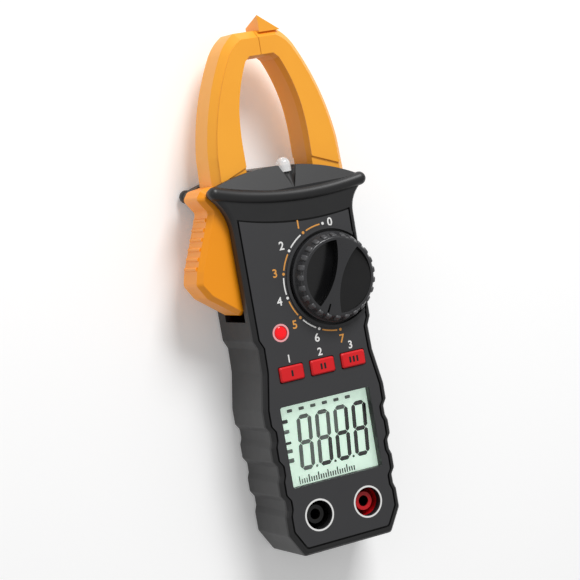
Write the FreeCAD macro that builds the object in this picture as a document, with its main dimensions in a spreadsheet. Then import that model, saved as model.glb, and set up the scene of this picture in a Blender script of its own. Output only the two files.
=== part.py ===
import FreeCAD, Part
import math
import os
import re

import Sketcher

# A hand-held clamp meter, lying on its flat back.
# +X is to the right of the display, +Y runs towards the jaws, +Z comes out of the display.
# The origin is on the flat back, on the centreline, level with the two test sockets.

SIZES = {
    # case
    "case_depth": 28.0,        # from the flat back to the front face
    "split_height": 16.0,      # where the two case halves meet, also the jaws' middle plane
    "wall": 2.0,
    "half_width": 22.75,       # centreline to the seam round the front panel, at the dial
    "rim_side": 2.2,           # rim outside that seam, at the sides
    "rim_end": 2.9,            # rim outside that seam, at the bottom end
    "bottom_end": -10.9,       # the seam's bottom edge
    "panel_top": 109.3,        # the seam's top corners
    "waist_depth": 1.8,        # how far the sides draw in below the dial
    "waist_low": 55.0,
    "waist_high": 64.0,
    "grip_count": 4.0,         # finger swells along each side
    "grip_first": 38.2,        # centre of the swell nearest the dial
    "grip_pitch": 12.9,
    "grip_swell": 0.65,        # how far the first swell stands out past half_width
    "grip_taper": 0.67,        # each next swell stands in by this
    "grip_depth": 1.5,         # from a swell to the notch beside it
    "edge_bevel": 1.7,
    "back_bevel": 2.2,
    "panel_thick": 1.2,
    "panel_gap": 0.35,         # half of the groove round the panel
    "top_sag": 2.3,            # the seam's top edge curves down by this
    # guard between the hand and the jaws
    "guard_half": 29.6,
    "guard_low": 119.8,        # height of the guard bead's ends, on the mean line
    "guard_tilt": 2.0,         # the trigger side sits this much higher, the other lower
    "bead_radius": 2.5,
    "bead_sag": 3.4,
    "bead_drop": 1.1,          # from the front face down to the front bead's middle
    "guard_rise": 9.2,         # from the mean line to the top of the guard
    "guard_slope": 2.8,        # the guard's faces fall back by this towards the jaws
    # jaws and trigger
    "jaw_depth": 15.4,
    "jaw_width": 14.3,
    "window_half": 12.9,       # half of the opening for a conductor
    "window_top": 167.5,
    "jaw_top": 177.1,
    "jaw_bevel": 2.6,
    "jaw_back_bevel": 1.4,
    "pad_drop": 4.2,           # the raised faces end this much lower at their outer edge
    "jaw_inner_bevel": 0.7,
    "jaw_wall": 1.8,
    "jaw_pad": 0.6,            # the raised face of each jaw
    "seam_gap": 0.1,           # each jaw stops this far from the centreline
    "jaw_clear": 0.4,          # room round the jaws in the case
    "pivot_x": 15.5,
    "pivot_y": 106.5,
    "pin_radius": 2.5,
    "pin_fit": 0.05,
    "hub_radius": 6.8,
    "open_angle": 20.0,
    "trigger_reach": 40.2,     # centreline to the trigger's furthest point
    "trigger_peak": 91.7,
    "trigger_low": 76.0,
    "rib_count": 6.0,
    "rib_radius": 0.8,
    # dial
    "dial_x": 10.9,
    "dial_y": 84.4,
    "dial_ring": 18.0,
    "ring_width": 0.7,
    "ring_height": 0.5,
    "knob_radius": 16.6,
    "knob_top_radius": 14.0,
    "knob_height": 5.8,        # above the front face
    "knob_gap": 0.3,
    "grip_bar": 2.8,           # the bar's thickness at its waist
    "scoop_radius": 21.0,
    "scoop_depth": 3.8,
    "knob_beads": 25.0,
    "bead_notch": 0.9,
    "shaft_radius": 4.6,
    "shaft_fit": 0.08,
    "rotor_radius": 9.0,
    "rotor_thick": 3.4,
    "detents": 14.0,
    "pointer_angle": 244.3,
    # display
    "display_y": 26.6,
    "window_width": 37.6,
    "window_height": 30.0,
    "lens_margin": 1.1,
    "lens_thick": 0.8,
    "glass_thick": 1.9,
    "light_thick": 1.6,
    "frame_wall": 0.9,
    "display_fit": 0.15,
    # circuit board
    "board_thick": 1.6,
    "board_top": 16.6,
    "board_half": 19.4,
    "board_low": 6.6,
    "board_high": 101.0,
    "board_step": 70.5,
    "board_step_x": -10.8,
    # buttons
    "button_width": 9.8,
    "button_height": 5.5,
    "button_gap": 0.3,
    "button_proud": 0.9,
    "button_pitch": 12.9,
    "button_x": 1.0,
    "button_y": 53.1,
    "button_flange": 0.8,
    "button_travel": 0.8,
    "switch_size": 6.0,
    "switch_height": 3.6,
    # lamps
    "lens_x": -13.4,
    "lens_y": 68.2,
    "lens_radius": 2.4,
    "torch_x": 2.0,
    "torch_radius": 2.6,
    "torch_height": 22.2,
    "torch_seat": 5.2,         # from the guard's mean line to the lamp's seat
    "scoop_half": 4.6,         # half width of the half-cone recess over the torch lamp
    # sockets
    "socket_x": 10.3,
    "socket_bore": 5.3,
    "socket_wall": 1.1,
    "post_radius": 3.4,
    "post_drop": 3.3,
    "contact_radius": 2.7,
    "contact_bore": 2.0,
    "socket_floor": 7.0,
    # cells and their cover
    "cell_radius": 5.2,
    "cell_length": 44.0,
    "cell_x": 5.5,
    "cell_low": 13.0,
    "cell_z": 7.2,
    "cover_width": 26.6,
    "cover_low": 8.6,
    "cover_high": 70.2,
    "cover_thick": 1.8,
    "cover_gap": 0.2,
    "ledge": 1.6,
    "screw_radius": 1.25,
    "head_radius": 2.4,
    "head_depth": 1.5,
    "head_sink": 0.4,
    "boss_radius": 2.7,
    "cover_screw_y": 66.2,
}

doc = FreeCAD.newDocument("ClampMeter")
sheet = doc.addObject("Spreadsheet::Sheet", "Sizes")
for row, (alias, value) in enumerate(SIZES.items(), start=1):
    sheet.set(f"A{row}", alias)
    sheet.set(f"B{row}", str(value))
    sheet.setAlias(f"B{row}", alias)
doc.recompute()

nodes = []
V = FreeCAD.Vector
UP = V(0, 0, 1)


def size(alias):
    """A size's value, read from the sheet."""
    return float(sheet.get(alias))


def bound(text):
    """An expression with each alias pointed at the sheet."""
    return re.sub(r"[a-z_]+", lambda m: "Sizes." + m.group() if m.group() in SIZES else m.group(), text)


def bind(item, **expressions):
    """Binds an object's properties to expressions of the sheet."""
    for name, text in expressions.items():
        item.setExpression(name.replace("__", "."), bound(text))
    return item


def move(item, x="0", y="0", z="0"):
    """Places an object by expressions of the sheet."""
    for axis, text in (("x", x), ("y", y), ("z", z)):
        item.setExpression("Placement.Base." + axis, bound(text))
    return item


def box(label, length, width, height, x="0", y="0", z="0"):
    item = doc.addObject("Part::Box", label)
    bind(item, Length=length, Width=width, Height=height)
    return move(item, x, y, z)


def centred_box(label, length, width, height, x="0", y="0", z="0"):
    """A box centred on x and y, standing on z."""
    return box(label, length, width, height, f"{x} - ({length}) / 2", f"{y} - ({width}) / 2", z)


def cylinder(label, radius, height, x="0", y="0", z="0"):
    item = doc.addObject("Part::Cylinder", label)
    bind(item, Radius=radius, Height=height)
    return move(item, x, y, z)


def fuse(label, *items):
    item = doc.addObject("Part::MultiFuse", label)
    item.Shapes = list(items)
    return item


def cut(label, base, *tools):
    item = doc.addObject("Part::Cut", label)
    item.Base = base
    item.Tool = tools[0] if len(tools) == 1 else fuse(label + "_tools", *tools)
    return item


def node(item, label):
    """Names a finished sub-part. Its label becomes its file's name."""
    item.Label = label
    nodes.append(item)
    return item


def shape_node(label, shape):
    """A sub-part whose shape is worked out from the sheet's sizes."""
    item = doc.addObject("Part::Feature", label)
    item.Shape = Part.makeCompound(shape.Solids)
    item.Placement = FreeCAD.Placement()
    return node(item, label)


def plate(label, width, height, thick, x="0", y="0", z="0", radius=None):
    """A PartDesign body: a rectangle centred on x and y, padded up from z."""
    body = doc.addObject("PartDesign::Body", label)
    sketch = body.newObject("Sketcher::SketchObject", label + "_outline")
    plane = [f for f in body.Origin.OriginFeatures if f.Role == "XY_Plane"][0]
    sketch.AttachmentSupport = [(plane, "")]
    sketch.MapMode = "FlatFace"
    corners = [V(-1, -1, 0), V(1, -1, 0), V(1, 1, 0), V(-1, 1, 0)]
    for i in range(4):
        sketch.addGeometry(Part.LineSegment(corners[i], corners[(i + 1) % 4]))
    for i in range(4):
        sketch.addConstraint(Sketcher.Constraint("Coincident", i, 2, (i + 1) % 4, 1))
    for i in (0, 2):
        sketch.addConstraint(Sketcher.Constraint("Horizontal", i))
        sketch.addConstraint(Sketcher.Constraint("Vertical", i + 1))
    sketch.addConstraint(Sketcher.Constraint("Symmetric", 0, 1, 1, 2, -1, 1))
    across = sketch.addConstraint(Sketcher.Constraint("DistanceX", 0, 1, 0, 2, 2))
    sketch.renameConstraint(across, "width")
    along = sketch.addConstraint(Sketcher.Constraint("DistanceY", 1, 1, 1, 2, 2))
    sketch.renameConstraint(along, "height")
    bind(sketch, Constraints__width=width, Constraints__height=height)
    pad = body.newObject("PartDesign::Pad", label + "_pad")
    pad.Profile = sketch
    bind(pad, Length=thick)
    doc.recompute()
    if radius:
        upright = [e for e in range(len(pad.Shape.Edges))
                   if abs(pad.Shape.Edges[e].tangentAt(0).z) > 0.9]
        rounding = body.newObject("PartDesign::Fillet", label + "_corners")
        rounding.Base = (pad, [f"Edge{e + 1}" for e in upright])
        bind(rounding, Radius=radius)
    return move(body, x, y, z)


# ---------------------------------------------------------------- outlines

def outline(points, height):
    """A closed wire through corners (x, y, radius, bow), counterclockwise, at a height.
    radius rounds the corner. bow is how far the edge to the next corner swells outwards."""
    spots = [V(p[0], p[1], height) for p in points]
    radii = [p[2] if len(p) > 2 else 0 for p in points]
    bows = [p[3] if len(p) > 3 else 0 for p in points]
    count = len(points)
    edges = []
    starts = []
    ends = []
    for i, spot in enumerate(spots):
        into = (spot - spots[i - 1]).normalize()
        out = (spots[(i + 1) % count] - spot).normalize()
        turn = into.getAngle(out)
        reach = radii[i] * math.tan(turn / 2)
        ends.append(spot - into * reach)
        starts.append(spot + out * reach)
        if reach > 1e-6:
            inwards = (out - into).normalize()
            middle = spot + inwards * (radii[i] / math.cos(turn / 2) - radii[i])
            edges.append((i, Part.Arc(ends[i], middle, starts[i]).toShape()))
    for i in range(count):
        start, end = starts[i], ends[(i + 1) % count]
        if abs(bows[i]) > 1e-6:
            along = (end - start).normalize()
            outwards = V(along.y, -along.x, 0)
            middle = (start + end) * 0.5 + outwards * bows[i]
            edges.append((i + 0.5, Part.Arc(start, middle, end).toShape()))
        else:
            edges.append((i + 0.5, Part.LineSegment(start, end).toShape()))
    edges.sort(key=lambda pair: pair[0])
    return Part.Wire([edge for _, edge in edges])


def slab(points, low, high):
    """A straight prism of an outline, from one height to another."""
    return Part.Face(outline(points, low)).extrude(V(0, 0, high - low))


def taper(points_low, low, points_high, high):
    """A solid with ruled sides between two outlines with the same corners."""
    return Part.makeLoft([outline(points_low, low), outline(points_high, high)], True, True)


def mirrored(points):
    """An outline's mirror image in the centreline, still counterclockwise."""
    flipped = []
    count = len(points)
    for i in range(count):
        point = points[-i]
        before = points[-i - 1]
        radius = point[2] if len(point) > 2 else 0
        bow = before[3] if len(before) > 3 else 0
        flipped.append((-point[0], point[1], radius, bow))
    return flipped


def side_corners(grow, end_grow):
    """The right-hand corners of the case, from the bottom end to the dial,
    grow outside the seam round the front panel."""
    half = size("half_width")
    count = int(size("grip_count"))
    swells = [half + size("grip_swell") - i * size("grip_taper") for i in range(count)]
    centres = [size("grip_first") - i * size("grip_pitch") for i in range(count)]
    flat, ramp = 2.5, 2.2
    low = size("bottom_end")
    corners = [(swells[-1] - 4.1 + grow * 0.5, low - end_grow, 1.6)]
    corners.append((swells[-1] + grow, low + 7.0 - end_grow * 0.4, 1.8))
    for i in reversed(range(count)):
        if i < count - 1:
            notch = swells[i] - size("grip_depth")
            corners.append((notch + grow, centres[i] - flat - ramp, 1.3))
            corners.append((swells[i] + grow, centres[i] - flat, 1.3))
        if i > 0:
            notch = swells[i - 1] - size("grip_depth")
            corners.append((swells[i] + grow, centres[i] + flat, 1.3))
            corners.append((notch + grow, centres[i] + flat + ramp, 1.3))
    waist = half - size("waist_depth")
    corners.append((swells[0] + grow, centres[0] + 3.4, 4.0))
    corners.append((waist + 0.15 + grow, size("waist_low"), 8.0))
    corners.append((waist + grow, size("waist_high"), 1.3))
    corners.append((half - 0.25 + grow, size("waist_high") + 3.2, 1.3))
    return corners


def panel_corners(grow):
    """The front panel's outline, grown from the seam's middle line."""
    right = side_corners(grow, grow)
    top = size("panel_top")
    tilt = size("guard_tilt") * 0.8
    x = size("half_width") + grow
    left = [(-p[0], p[1], p[2]) for p in reversed(right)]
    corner_right = (x, top - tilt + grow, 0, -size("top_sag"))
    corner_left = (-x, top + tilt + grow, 0, 0)
    return right + [corner_right, corner_left] + left


def guard_height(share):
    """The guard's mean line: share runs from -1 at the trigger side to 1."""
    return size("guard_low") - share * size("guard_tilt")


def case_corners(inset):
    """The whole case's outline in plan, with the guard, drawn in by inset."""
    right = side_corners(size("rim_side") - inset, size("rim_end") - inset)
    flank = size("half_width") + size("rim_side") - inset
    neck = size("panel_top") - 3.0
    tip = size("guard_half") + 1.4 - inset
    lower = size("bead_radius") * 0.6 - inset * 0.5
    upper = size("bead_radius") * 1.2 - inset * 0.8
    left = [(-p[0], p[1], p[2]) for p in reversed(right)]
    rise = size("guard_rise") - 2.0
    top = [
        (flank, neck, 0, -1.6),
        (tip, guard_height(1) - lower, 0, 0.9),
        (tip - 0.8, guard_height(1) + upper * 0.55, 0, rise - upper * 0.35),
        (-tip + 0.8, guard_height(-1) + upper * 0.55, 0, 0.9),
        (-tip, guard_height(-1) - lower, 0, -1.6),
        (-flank, neck, 0, 0),
    ]
    return right + top + left


def jaw_corners(outer, inner, seam, low, drop=0):
    """The right jaw's outline above the case, drawn in by outer and inner at its
    curved edges and by seam at the middle, from low upwards and lower by drop outside."""
    top = size("jaw_top")
    edge = size("window_half") + size("jaw_width")
    bore = size("window_half")
    crown = size("window_top")
    straight = guard_base + 14.3
    lean = 0.5 * (straight - low + drop) / 15.3
    return [
        (bore + inner, low),
        (edge - 0.5 + lean - outer, low - drop),
        (edge - 0.5 - outer, straight, 0, 1.9),
        (bore + 2.2 - outer * 0.9, top - 6.8 - outer * 0.4, 0, 0.6),
        (bore - 4.5 - outer * 0.5, top - outer, 0),
        (seam, top - outer, 0),
        (seam, crown + inner, 0),
        (bore - 8.3 + inner * 0.5, crown + inner, 0),
        (bore - 6.7 + inner, crown - 1.5 + inner * 0.6, 0, -0.75),
        (bore - 0.8 + inner, crown - 19.5, 0, -0.15),
        (bore + inner, crown - 30.0),
    ]


def centre(x_alias, y_alias, sign=1):
    return V(sign * size(x_alias), size(y_alias), 0)


def disc(spot, radius, low, high):
    """An upright cylinder about a point in plan."""
    return Part.makeCylinder(radius, high - low, V(spot.x, spot.y, low), UP)


def block(low, high):
    """A box between two corners."""
    return Part.makeBox(high[0] - low[0], high[1] - low[1], high[2] - low[2], V(*low))


def coil(spot, radius, wire, low, high, turns):
    """A round-wire coil about an upright axis, each half turn an arc tilted to climb half a pitch."""
    climb = (high - low) / turns / 2
    halves = []
    for i in range(int(turns * 2)):
        side = 1 if i % 2 == 0 else -1
        start = V(side * radius, 0, i * climb)
        end = V(-side * radius, 0, (i + 1) * climb)
        ring = Part.Face(Part.Wire(Part.makeCircle(wire, start, V(0, 1, 0))))
        axis = V(side * climb, 0, 2 * radius)
        halves.append(ring.revolve((start + end) / 2, axis, 180))
    spring = halves[0].multiFuse(halves[1:]).removeSplitter()
    return Part.makeCompound(spring.Solids).translated(V(spot.x, spot.y, low))


depth = size("case_depth")
split = size("split_height")
wall = size("wall")
face_back = depth - size("panel_thick")
ceiling = face_back - wall
jaw_low = split - size("jaw_depth") / 2
jaw_high = split + size("jaw_depth") / 2
pivot = centre("pivot_x", "pivot_y", -1)
dial = centre("dial_x", "dial_y")
sockets = [V(side * size("socket_x"), 0, 0) for side in (-1, 1)]
lens = centre("lens_x", "lens_y")
display = V(0, size("display_y"), 0)
button_spots = [V(size("button_x") + i * size("button_pitch"), size("button_y"), 0) for i in (-1, 0, 1)]
guard_base = size("guard_low")

# Four screws hold the case halves: two low, one between the jaws, one through the fixed jaw's root.
low_screws = [V(side * 18.0, -5.2, 0) for side in (-1, 1)]
neck_screw = V(size("torch_x"), guard_base - 8.6, 0)
root_screw = V(size("window_half") + 4.6, guard_base - 10.6, 0)
case_screw_spots = low_screws + [neck_screw, root_screw]


def bead(height):
    """The rounded rim of the guard, a bar along an arc with round ends."""
    half = size("guard_half")
    left = V(-half, guard_height(-1), height)
    right = V(half, guard_height(1), height)
    middle = V(0, size("guard_low") - size("bead_sag"), height)
    bow = Part.Arc(left, middle, right).toShape()
    hub = bow.Curve.Center
    sweep = math.degrees(bow.Length / bow.Curve.Radius)
    start = V(-(left.y - hub.y), left.x - hub.x, 0)
    ring = Part.Face(Part.Wire(Part.makeCircle(size("bead_radius"), left, start)))
    bar = ring.revolve(hub, UP, sweep)
    for end in (left, right):
        bar = bar.fuse(Part.makeSphere(size("bead_radius"), end))
    return bar


def guard_wedge(front):
    """What is cut away so that a guard face falls back towards the jaws."""
    start = guard_base - 0.6
    reach = 20.0
    fall = size("guard_slope") * reach / size("guard_rise")
    level = depth if front else 0
    down = -1 if front else 1
    profile = [V(-60, start, level), V(-60, start + reach, level + down * fall),
               V(-60, start + reach, level - down * 20), V(-60, start, level - down * 20)]
    face = Part.Face(Part.makePolygon(profile + profile[:1]))
    return face.extrude(V(120, 0, 0))


def jaw_space():
    """Room in the case for the moving jaw, the trigger and their swing, and for the fixed jaw."""
    gap = size("jaw_clear")
    bore = size("window_half")
    edge = bore + size("jaw_width")
    high = size("guard_low") + 20
    swing = [(-60, size("trigger_low") - 1.9), (-11.6, size("trigger_low") - 1.9, 2.0),
             (-11.6, pivot.y - 8.0, 2.0), (-7.9, pivot.y - 3.0, 2.0), (-7.9, pivot.y + 4.0, 2.0),
             (-bore + 1.6, guard_base - 1.0), (-bore + 1.6, high), (-60, high)]
    root = [(bore - 0.3 - gap, guard_base - 15.0), (edge - 4.0, guard_base - 15.0),
            (edge - 4.0, guard_base - 6.0), (edge + gap, guard_base - 1.0), (edge + gap, high),
            (bore - 0.3 - gap, high)]
    low, top = jaw_low - gap, jaw_high + gap
    return slab(swing, low, top).fuse(slab(root, low, top))


def cavity():
    """The hollow inside the case, below the neck."""
    limit = guard_base - 4.6
    hollow = slab(case_corners(wall), wall, ceiling)
    return hollow.cut(block((-60, limit, -1), (60, 200, depth + 1)))


def case_blank():
    """The case's outside before it is hollowed and split."""
    bevel = size("edge_bevel")
    back = size("back_bevel")
    grip = depth - bevel
    blank = taper(case_corners(back), 0, case_corners(0), back)
    blank = blank.fuse(slab(case_corners(0), back, grip))
    steps = [(0, grip), (bevel * 0.13, depth - bevel * 0.5), (bevel * 0.5, depth - bevel * 0.13), (bevel, depth)]
    for (outer, start), (inner, end) in zip(steps, steps[1:]):
        blank = blank.fuse(taper(case_corners(outer), start, case_corners(inner), end))
    blank = blank.cut(guard_wedge(True)).cut(guard_wedge(False))
    return blank.fuse(bead(depth - size("bead_drop"))).fuse(bead(size("bead_radius") + 0.15))


blank = case_blank()
hollow = cavity()
room = jaw_space()


def front_case():
    """The front half: face, upper side walls, front of the guard, and the screw pillars."""
    shell = blank.common(block((-60, -60, split), (60, 200, depth + 20)))
    shell = shell.cut(hollow).cut(room)
    gap = size("panel_gap")
    shell = shell.cut(slab(panel_corners(gap), face_back, depth + 1))
    ring = size("dial_ring")
    lip = disc(dial, ring + size("ring_width"), face_back, depth + size("ring_height"))
    lip = lip.common(slab(case_corners(size("edge_bevel")), face_back - 1, depth + 3))
    shell = shell.fuse(lip.cut(slab(panel_corners(gap), face_back - 1, depth + 3)))
    shell = shell.cut(disc(dial, ring - size("ring_width") / 2, face_back, depth + 3))
    for spot in low_screws:
        pillar = disc(spot, size("boss_radius"), split, ceiling + 0.5)
        shell = shell.fuse(pillar)
        shell = shell.cut(disc(spot, size("screw_radius"), split, ceiling - 1.0))
    shell = shell.fuse(disc(neck_screw, size("boss_radius"), split, ceiling + 0.5))
    shell = shell.cut(disc(neck_screw, size("screw_radius"), split, ceiling - 1.0))
    shell = shell.cut(disc(root_screw, size("screw_radius"), split, ceiling + 0.9))
    shell = shell.cut(disc(pivot, size("pin_radius") + size("pin_fit"), split, ceiling + 1.2))
    for spot in sockets:
        shell = shell.cut(disc(spot, size("socket_bore"), split, depth + 1))
    width, height = size("window_width"), size("window_height")
    shell = shell.cut(block((-width / 2, display.y - height / 2, ceiling - 1),
                            (width / 2, display.y + height / 2, depth + 1)))
    for spot in button_spots:
        shell = shell.cut(button_hole(spot, ceiling - 1, depth + 1))
    shell = shell.cut(disc(lens, size("lens_radius") + 0.15, ceiling - 1, depth + 1))
    shell = shell.cut(disc(dial, size("shaft_radius") + size("shaft_fit"), ceiling - 1, depth + 1))
    torch = V(size("torch_x"), guard_base - 0.6, depth)
    reach = size("guard_rise") + 2.0
    shell = shell.cut(Part.makeCone(0.3, size("scoop_half"), reach, torch, V(0, size("guard_rise"), -size("guard_slope"))))
    return shell.cut(torch_bore())


def button_hole(spot, low, high):
    half_x = size("button_width") / 2 + size("button_gap")
    half_y = size("button_height") / 2 + size("button_gap")
    return slab([(spot.x - half_x, spot.y - half_y, 0.7), (spot.x + half_x, spot.y - half_y, 0.7),
                 (spot.x + half_x, spot.y + half_y, 0.7), (spot.x - half_x, spot.y + half_y, 0.7)],
                low, high)


def torch_bore():
    """The bore that seats the torch lamp, along the meter."""
    start = V(size("torch_x"), guard_base + size("torch_seat") - 0.1, size("torch_height"))
    return Part.makeCylinder(size("torch_radius") + 0.1, 30, start, V(0, 1, 0))


def rear_case():
    """The rear half: back, lower side walls, rear of the guard, battery bay and pillars."""
    shell = blank.common(block((-60, -60, -1), (60, 200, split)))
    shell = shell.cut(hollow).cut(room)
    for spot in low_screws:
        shell = shell.fuse(disc(spot, size("head_radius") + 1.0, 0, 5.0))
        shell = shell.fuse(disc(spot, size("boss_radius"), 5.0, split))
    shell = shell.fuse(disc(neck_screw, size("head_radius") + 1.2, 0, split))
    shell = shell.fuse(disc(root_screw, size("head_radius") + 1.2, 0, jaw_low - size("jaw_clear")))
    shell = shell.fuse(disc(pivot, size("pin_radius") + 2.0, 0.5, jaw_low - size("jaw_clear")))
    shell = shell.cut(disc(pivot, size("pin_radius") + size("pin_fit"), 2.5, split))
    sink = size("head_sink")
    for spot in case_screw_spots:
        shell = shell.cut(disc(spot, size("screw_radius") + 0.15, 0, split))
        shell = shell.cut(disc(spot, size("head_radius") + 0.15, -1, sink + size("head_depth")))
    half = size("cover_width") / 2
    ledge, gap, thick = size("ledge"), size("cover_gap"), size("cover_thick")
    low, high = size("cover_low"), size("cover_high")
    bay_top = size("cell_z") + size("cell_radius") + 0.6
    bay = block((-half, low, thick), (half, high - 7.4, bay_top))
    bay_hole = block((-half + ledge, low + ledge, 0), (half - ledge, high - 7.4 - ledge, bay_top + 1))
    shell = shell.fuse(block((-half, low, thick), (half, high, thick + 1.2)))
    shell = shell.fuse(bay).cut(bay_hole)
    screw = V(0, size("cover_screw_y"), 0)
    shell = shell.fuse(disc(screw, size("boss_radius"), thick, bay_top))
    shell = shell.cut(block((-half - gap, low - gap, -1), (half + gap, high + gap, thick)))
    shell = shell.cut(disc(screw, size("screw_radius"), 0, bay_top - 1.0))
    for spot in sockets:
        pillar = disc(spot, 3.4, wall - 0.5, size("socket_floor") - 1.0)
        shell = shell.fuse(pillar)
    return shell.cut(torch_bore())


shape_node("rear_case", rear_case())
shape_node("front_case", front_case())


def front_panel():
    """The fascia that lies in the groove-edged recess, with all its openings."""
    gap = size("panel_gap")
    face = slab(panel_corners(-gap), face_back, depth)
    ring = size("dial_ring")
    lip = disc(dial, ring + size("ring_width"), face_back, depth + size("ring_height"))
    face = face.fuse(lip).cut(disc(dial, ring - size("ring_width") / 2, face_back - 1, depth + 2))
    face = face.common(slab(panel_corners(-gap), face_back - 1, depth + 3))
    width, height = size("window_width"), size("window_height")
    x, y = width / 2, height / 2
    window = [(-x, display.y - y, 0.8), (x, display.y - y, 0.8), (x, display.y + y, 0.8), (-x, display.y + y, 0.8)]
    face = face.cut(slab(window, face_back - 1, depth + 1))
    for spot in button_spots:
        face = face.cut(button_hole(spot, face_back - 1, depth + 1))
    face = face.cut(disc(lens, size("lens_radius") + 0.15, face_back - 1, depth + 1))
    for spot in sockets:
        face = face.cut(disc(spot, size("socket_bore"), face_back - 1, depth + 1))
    return face


shape_node("front_panel", front_panel())

# ---------------------------------------------------------------- display

lens_top = "(case_depth - panel_thick - wall)"
node(plate("display_window", "window_width + 2 * lens_margin", "window_height + 2 * lens_margin",
           "lens_thick", "0", "display_y", lens_top + " - lens_thick", "lens_margin"), "display_window")
glass_top = "(case_depth - panel_thick - wall - lens_thick - display_fit)"
node(plate("display_glass", "window_width + lens_margin", "window_height + lens_margin",
           "glass_thick", "0", "display_y", glass_top + " - glass_thick"), "display_glass")
node(plate("display_backlight", "window_width + lens_margin", "window_height + lens_margin",
           "light_thick", "0", "display_y", glass_top + " - glass_thick - light_thick"), "display_backlight")

stack = "glass_thick + light_thick"
frame_out = centred_box("frame_out", "window_width + lens_margin + 2 * (display_fit + frame_wall)",
                        "window_height + lens_margin + 2 * (display_fit + frame_wall)",
                        glass_top + " - board_top", "0", "display_y", "board_top")
frame_in = centred_box("frame_in", "window_width + lens_margin + 2 * display_fit",
                       "window_height + lens_margin + 2 * display_fit",
                       stack, "0", "display_y", glass_top + " - (" + stack + ")")
frame_well = centred_box("frame_well", "window_width - 2 * lens_margin", "window_height - 2 * lens_margin",
                         "case_depth", "0", "display_y", "0")
zebra_slots = [centred_box(f"zebra_slot_{i}", "window_width - 4", "lens_margin * 2.2", "case_depth",
                           "0", f"display_y {sign} (window_height / 2 - lens_margin / 2)", "0")
               for i, sign in enumerate("+-")]
node(cut("display_frame", frame_out, frame_in, frame_well, *zebra_slots), "display_frame")
zebras = [centred_box(f"zebra_{i}", "window_width - 6", "lens_margin * 1.8",
                      glass_top + " - (" + stack + ") - board_top", "0",
                      f"display_y {sign} (window_height / 2 - lens_margin / 2)", "board_top")
          for i, sign in enumerate("+-")]
node(fuse("display_connectors", *zebras), "display_connectors")

# ---------------------------------------------------------------- board and what stands on it

board_z = "board_top - board_thick"
board_blank = box("board_blank", "board_half * 2", "board_high - board_low", "board_thick",
                  "-board_half", "board_low", board_z)
board_step = box("board_step_cut", "board_half + board_step_x", "board_high - board_step", "board_thick + 2",
                 "-board_half", "board_step", board_z + " - 1")
board_hole = cylinder("board_hole", "shaft_radius * 0.6 + 0.1", "board_thick + 2",
                      "dial_x", "dial_y", board_z + " - 1")
node(cut("circuit_board", board_blank, board_step, board_hole), "circuit_board")

switches = []
for i in (-1, 0, 1):
    at = f"button_x + ({i}) * button_pitch"
    switches.append(centred_box(f"switch_{i + 1}", "switch_size", "switch_size", "switch_height",
                                at, "button_y", "board_top"))
    switches.append(cylinder(f"plunger_{i + 1}", "1.7", "0.8", at, "button_y", "board_top + switch_height"))
node(fuse("tact_switches", *switches), "tact_switches")

node(cut("buzzer", cylinder("buzzer_can", "6.2", "3.4", "7.5", "board_step + 3", board_z + " - 3.4"),
         cylinder("buzzer_port", "1", "2", "7.5", "board_step + 3", board_z + " - 4.4")), "buzzer")

led_stem = cylinder("led_stem", "lens_radius * 0.6", "4.6", "lens_x", "lens_y", "board_top")
led_base = cylinder("led_base", "lens_radius * 0.75", "0.8", "lens_x", "lens_y", "board_top")
node(fuse("voltage_led", led_stem, led_base), "voltage_led")


def voltage_lens():
    """The red warning light's lens: a low dome with a collar below the face."""
    radius = size("lens_radius")
    body = disc(lens, radius, ceiling - 1.0, depth)
    crown = radius * 2.2
    sag = crown - math.sqrt(crown ** 2 - radius ** 2)
    dome = Part.makeSphere(crown, V(lens.x, lens.y, depth + sag - crown))
    body = body.fuse(dome.common(disc(lens, radius, depth - 0.5, depth + 5)))
    return body.fuse(disc(lens, radius + 0.9, ceiling - 1.0, ceiling))


shape_node("voltage_lens", voltage_lens())


def torch_lamp():
    """A clear lamp that points along the meter, out of the top of the guard."""
    radius = size("torch_radius")
    start = V(size("torch_x"), guard_base + size("torch_seat"), size("torch_height"))
    length = size("guard_rise") - size("torch_seat") - 1.3
    stem = Part.makeCylinder(radius, length, start, V(0, 1, 0))
    tip = Part.makeSphere(radius, start + V(0, length, 0))
    return stem.fuse(tip)


shape_node("torch_lamp", torch_lamp())

# ---------------------------------------------------------------- sockets

socket_height = "(case_depth - panel_thick - wall - socket_floor)"
for label, sign in (("common_socket", "-"), ("signal_socket", "")):
    at = sign + "socket_x"
    cup = cylinder(label + "_cup", "socket_bore + socket_wall", socket_height, at, "0", "socket_floor")
    well = cylinder(label + "_well", "socket_bore", socket_height, at, "0", "socket_floor + 1.5")
    cup_cut = cut(label + "_hollow", cup, well)
    post = cylinder(label + "_post", "post_radius", "case_depth - post_drop - socket_floor", at, "0",
                    "socket_floor")
    whole = fuse(label + "_whole", cup_cut, post)
    bore = cylinder(label + "_bore", "contact_radius + 0.05", "case_depth", at, "0", "0")
    node(cut(label, whole, bore), label)

contacts = []
for i, sign in enumerate(("-", "")):
    at = sign + "socket_x"
    sleeve = cylinder(f"sleeve_{i}", "contact_radius", "case_depth - post_drop - socket_floor - 0.5 + 1",
                      at, "0", "socket_floor - 1")
    foot = centred_box(f"foot_{i}", "3", "board_low + 1.8", "0.8", at, "board_low / 2 + 0.9", "socket_floor - 1")
    leg = centred_box(f"leg_{i}", "3", "0.8", board_z + " - socket_floor + 1", at, "board_low + 1.4",
                      "socket_floor - 1")
    whole = fuse(f"contact_{i}", sleeve, foot, leg)
    bore = cylinder(f"contact_bore_{i}", "contact_bore", "case_depth", at, "0", "socket_floor + 0.4")
    contacts.append(cut(f"contact_cut_{i}", whole, bore))
node(fuse("socket_contacts", *contacts), "socket_contacts")

# ---------------------------------------------------------------- cells and cover

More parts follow.
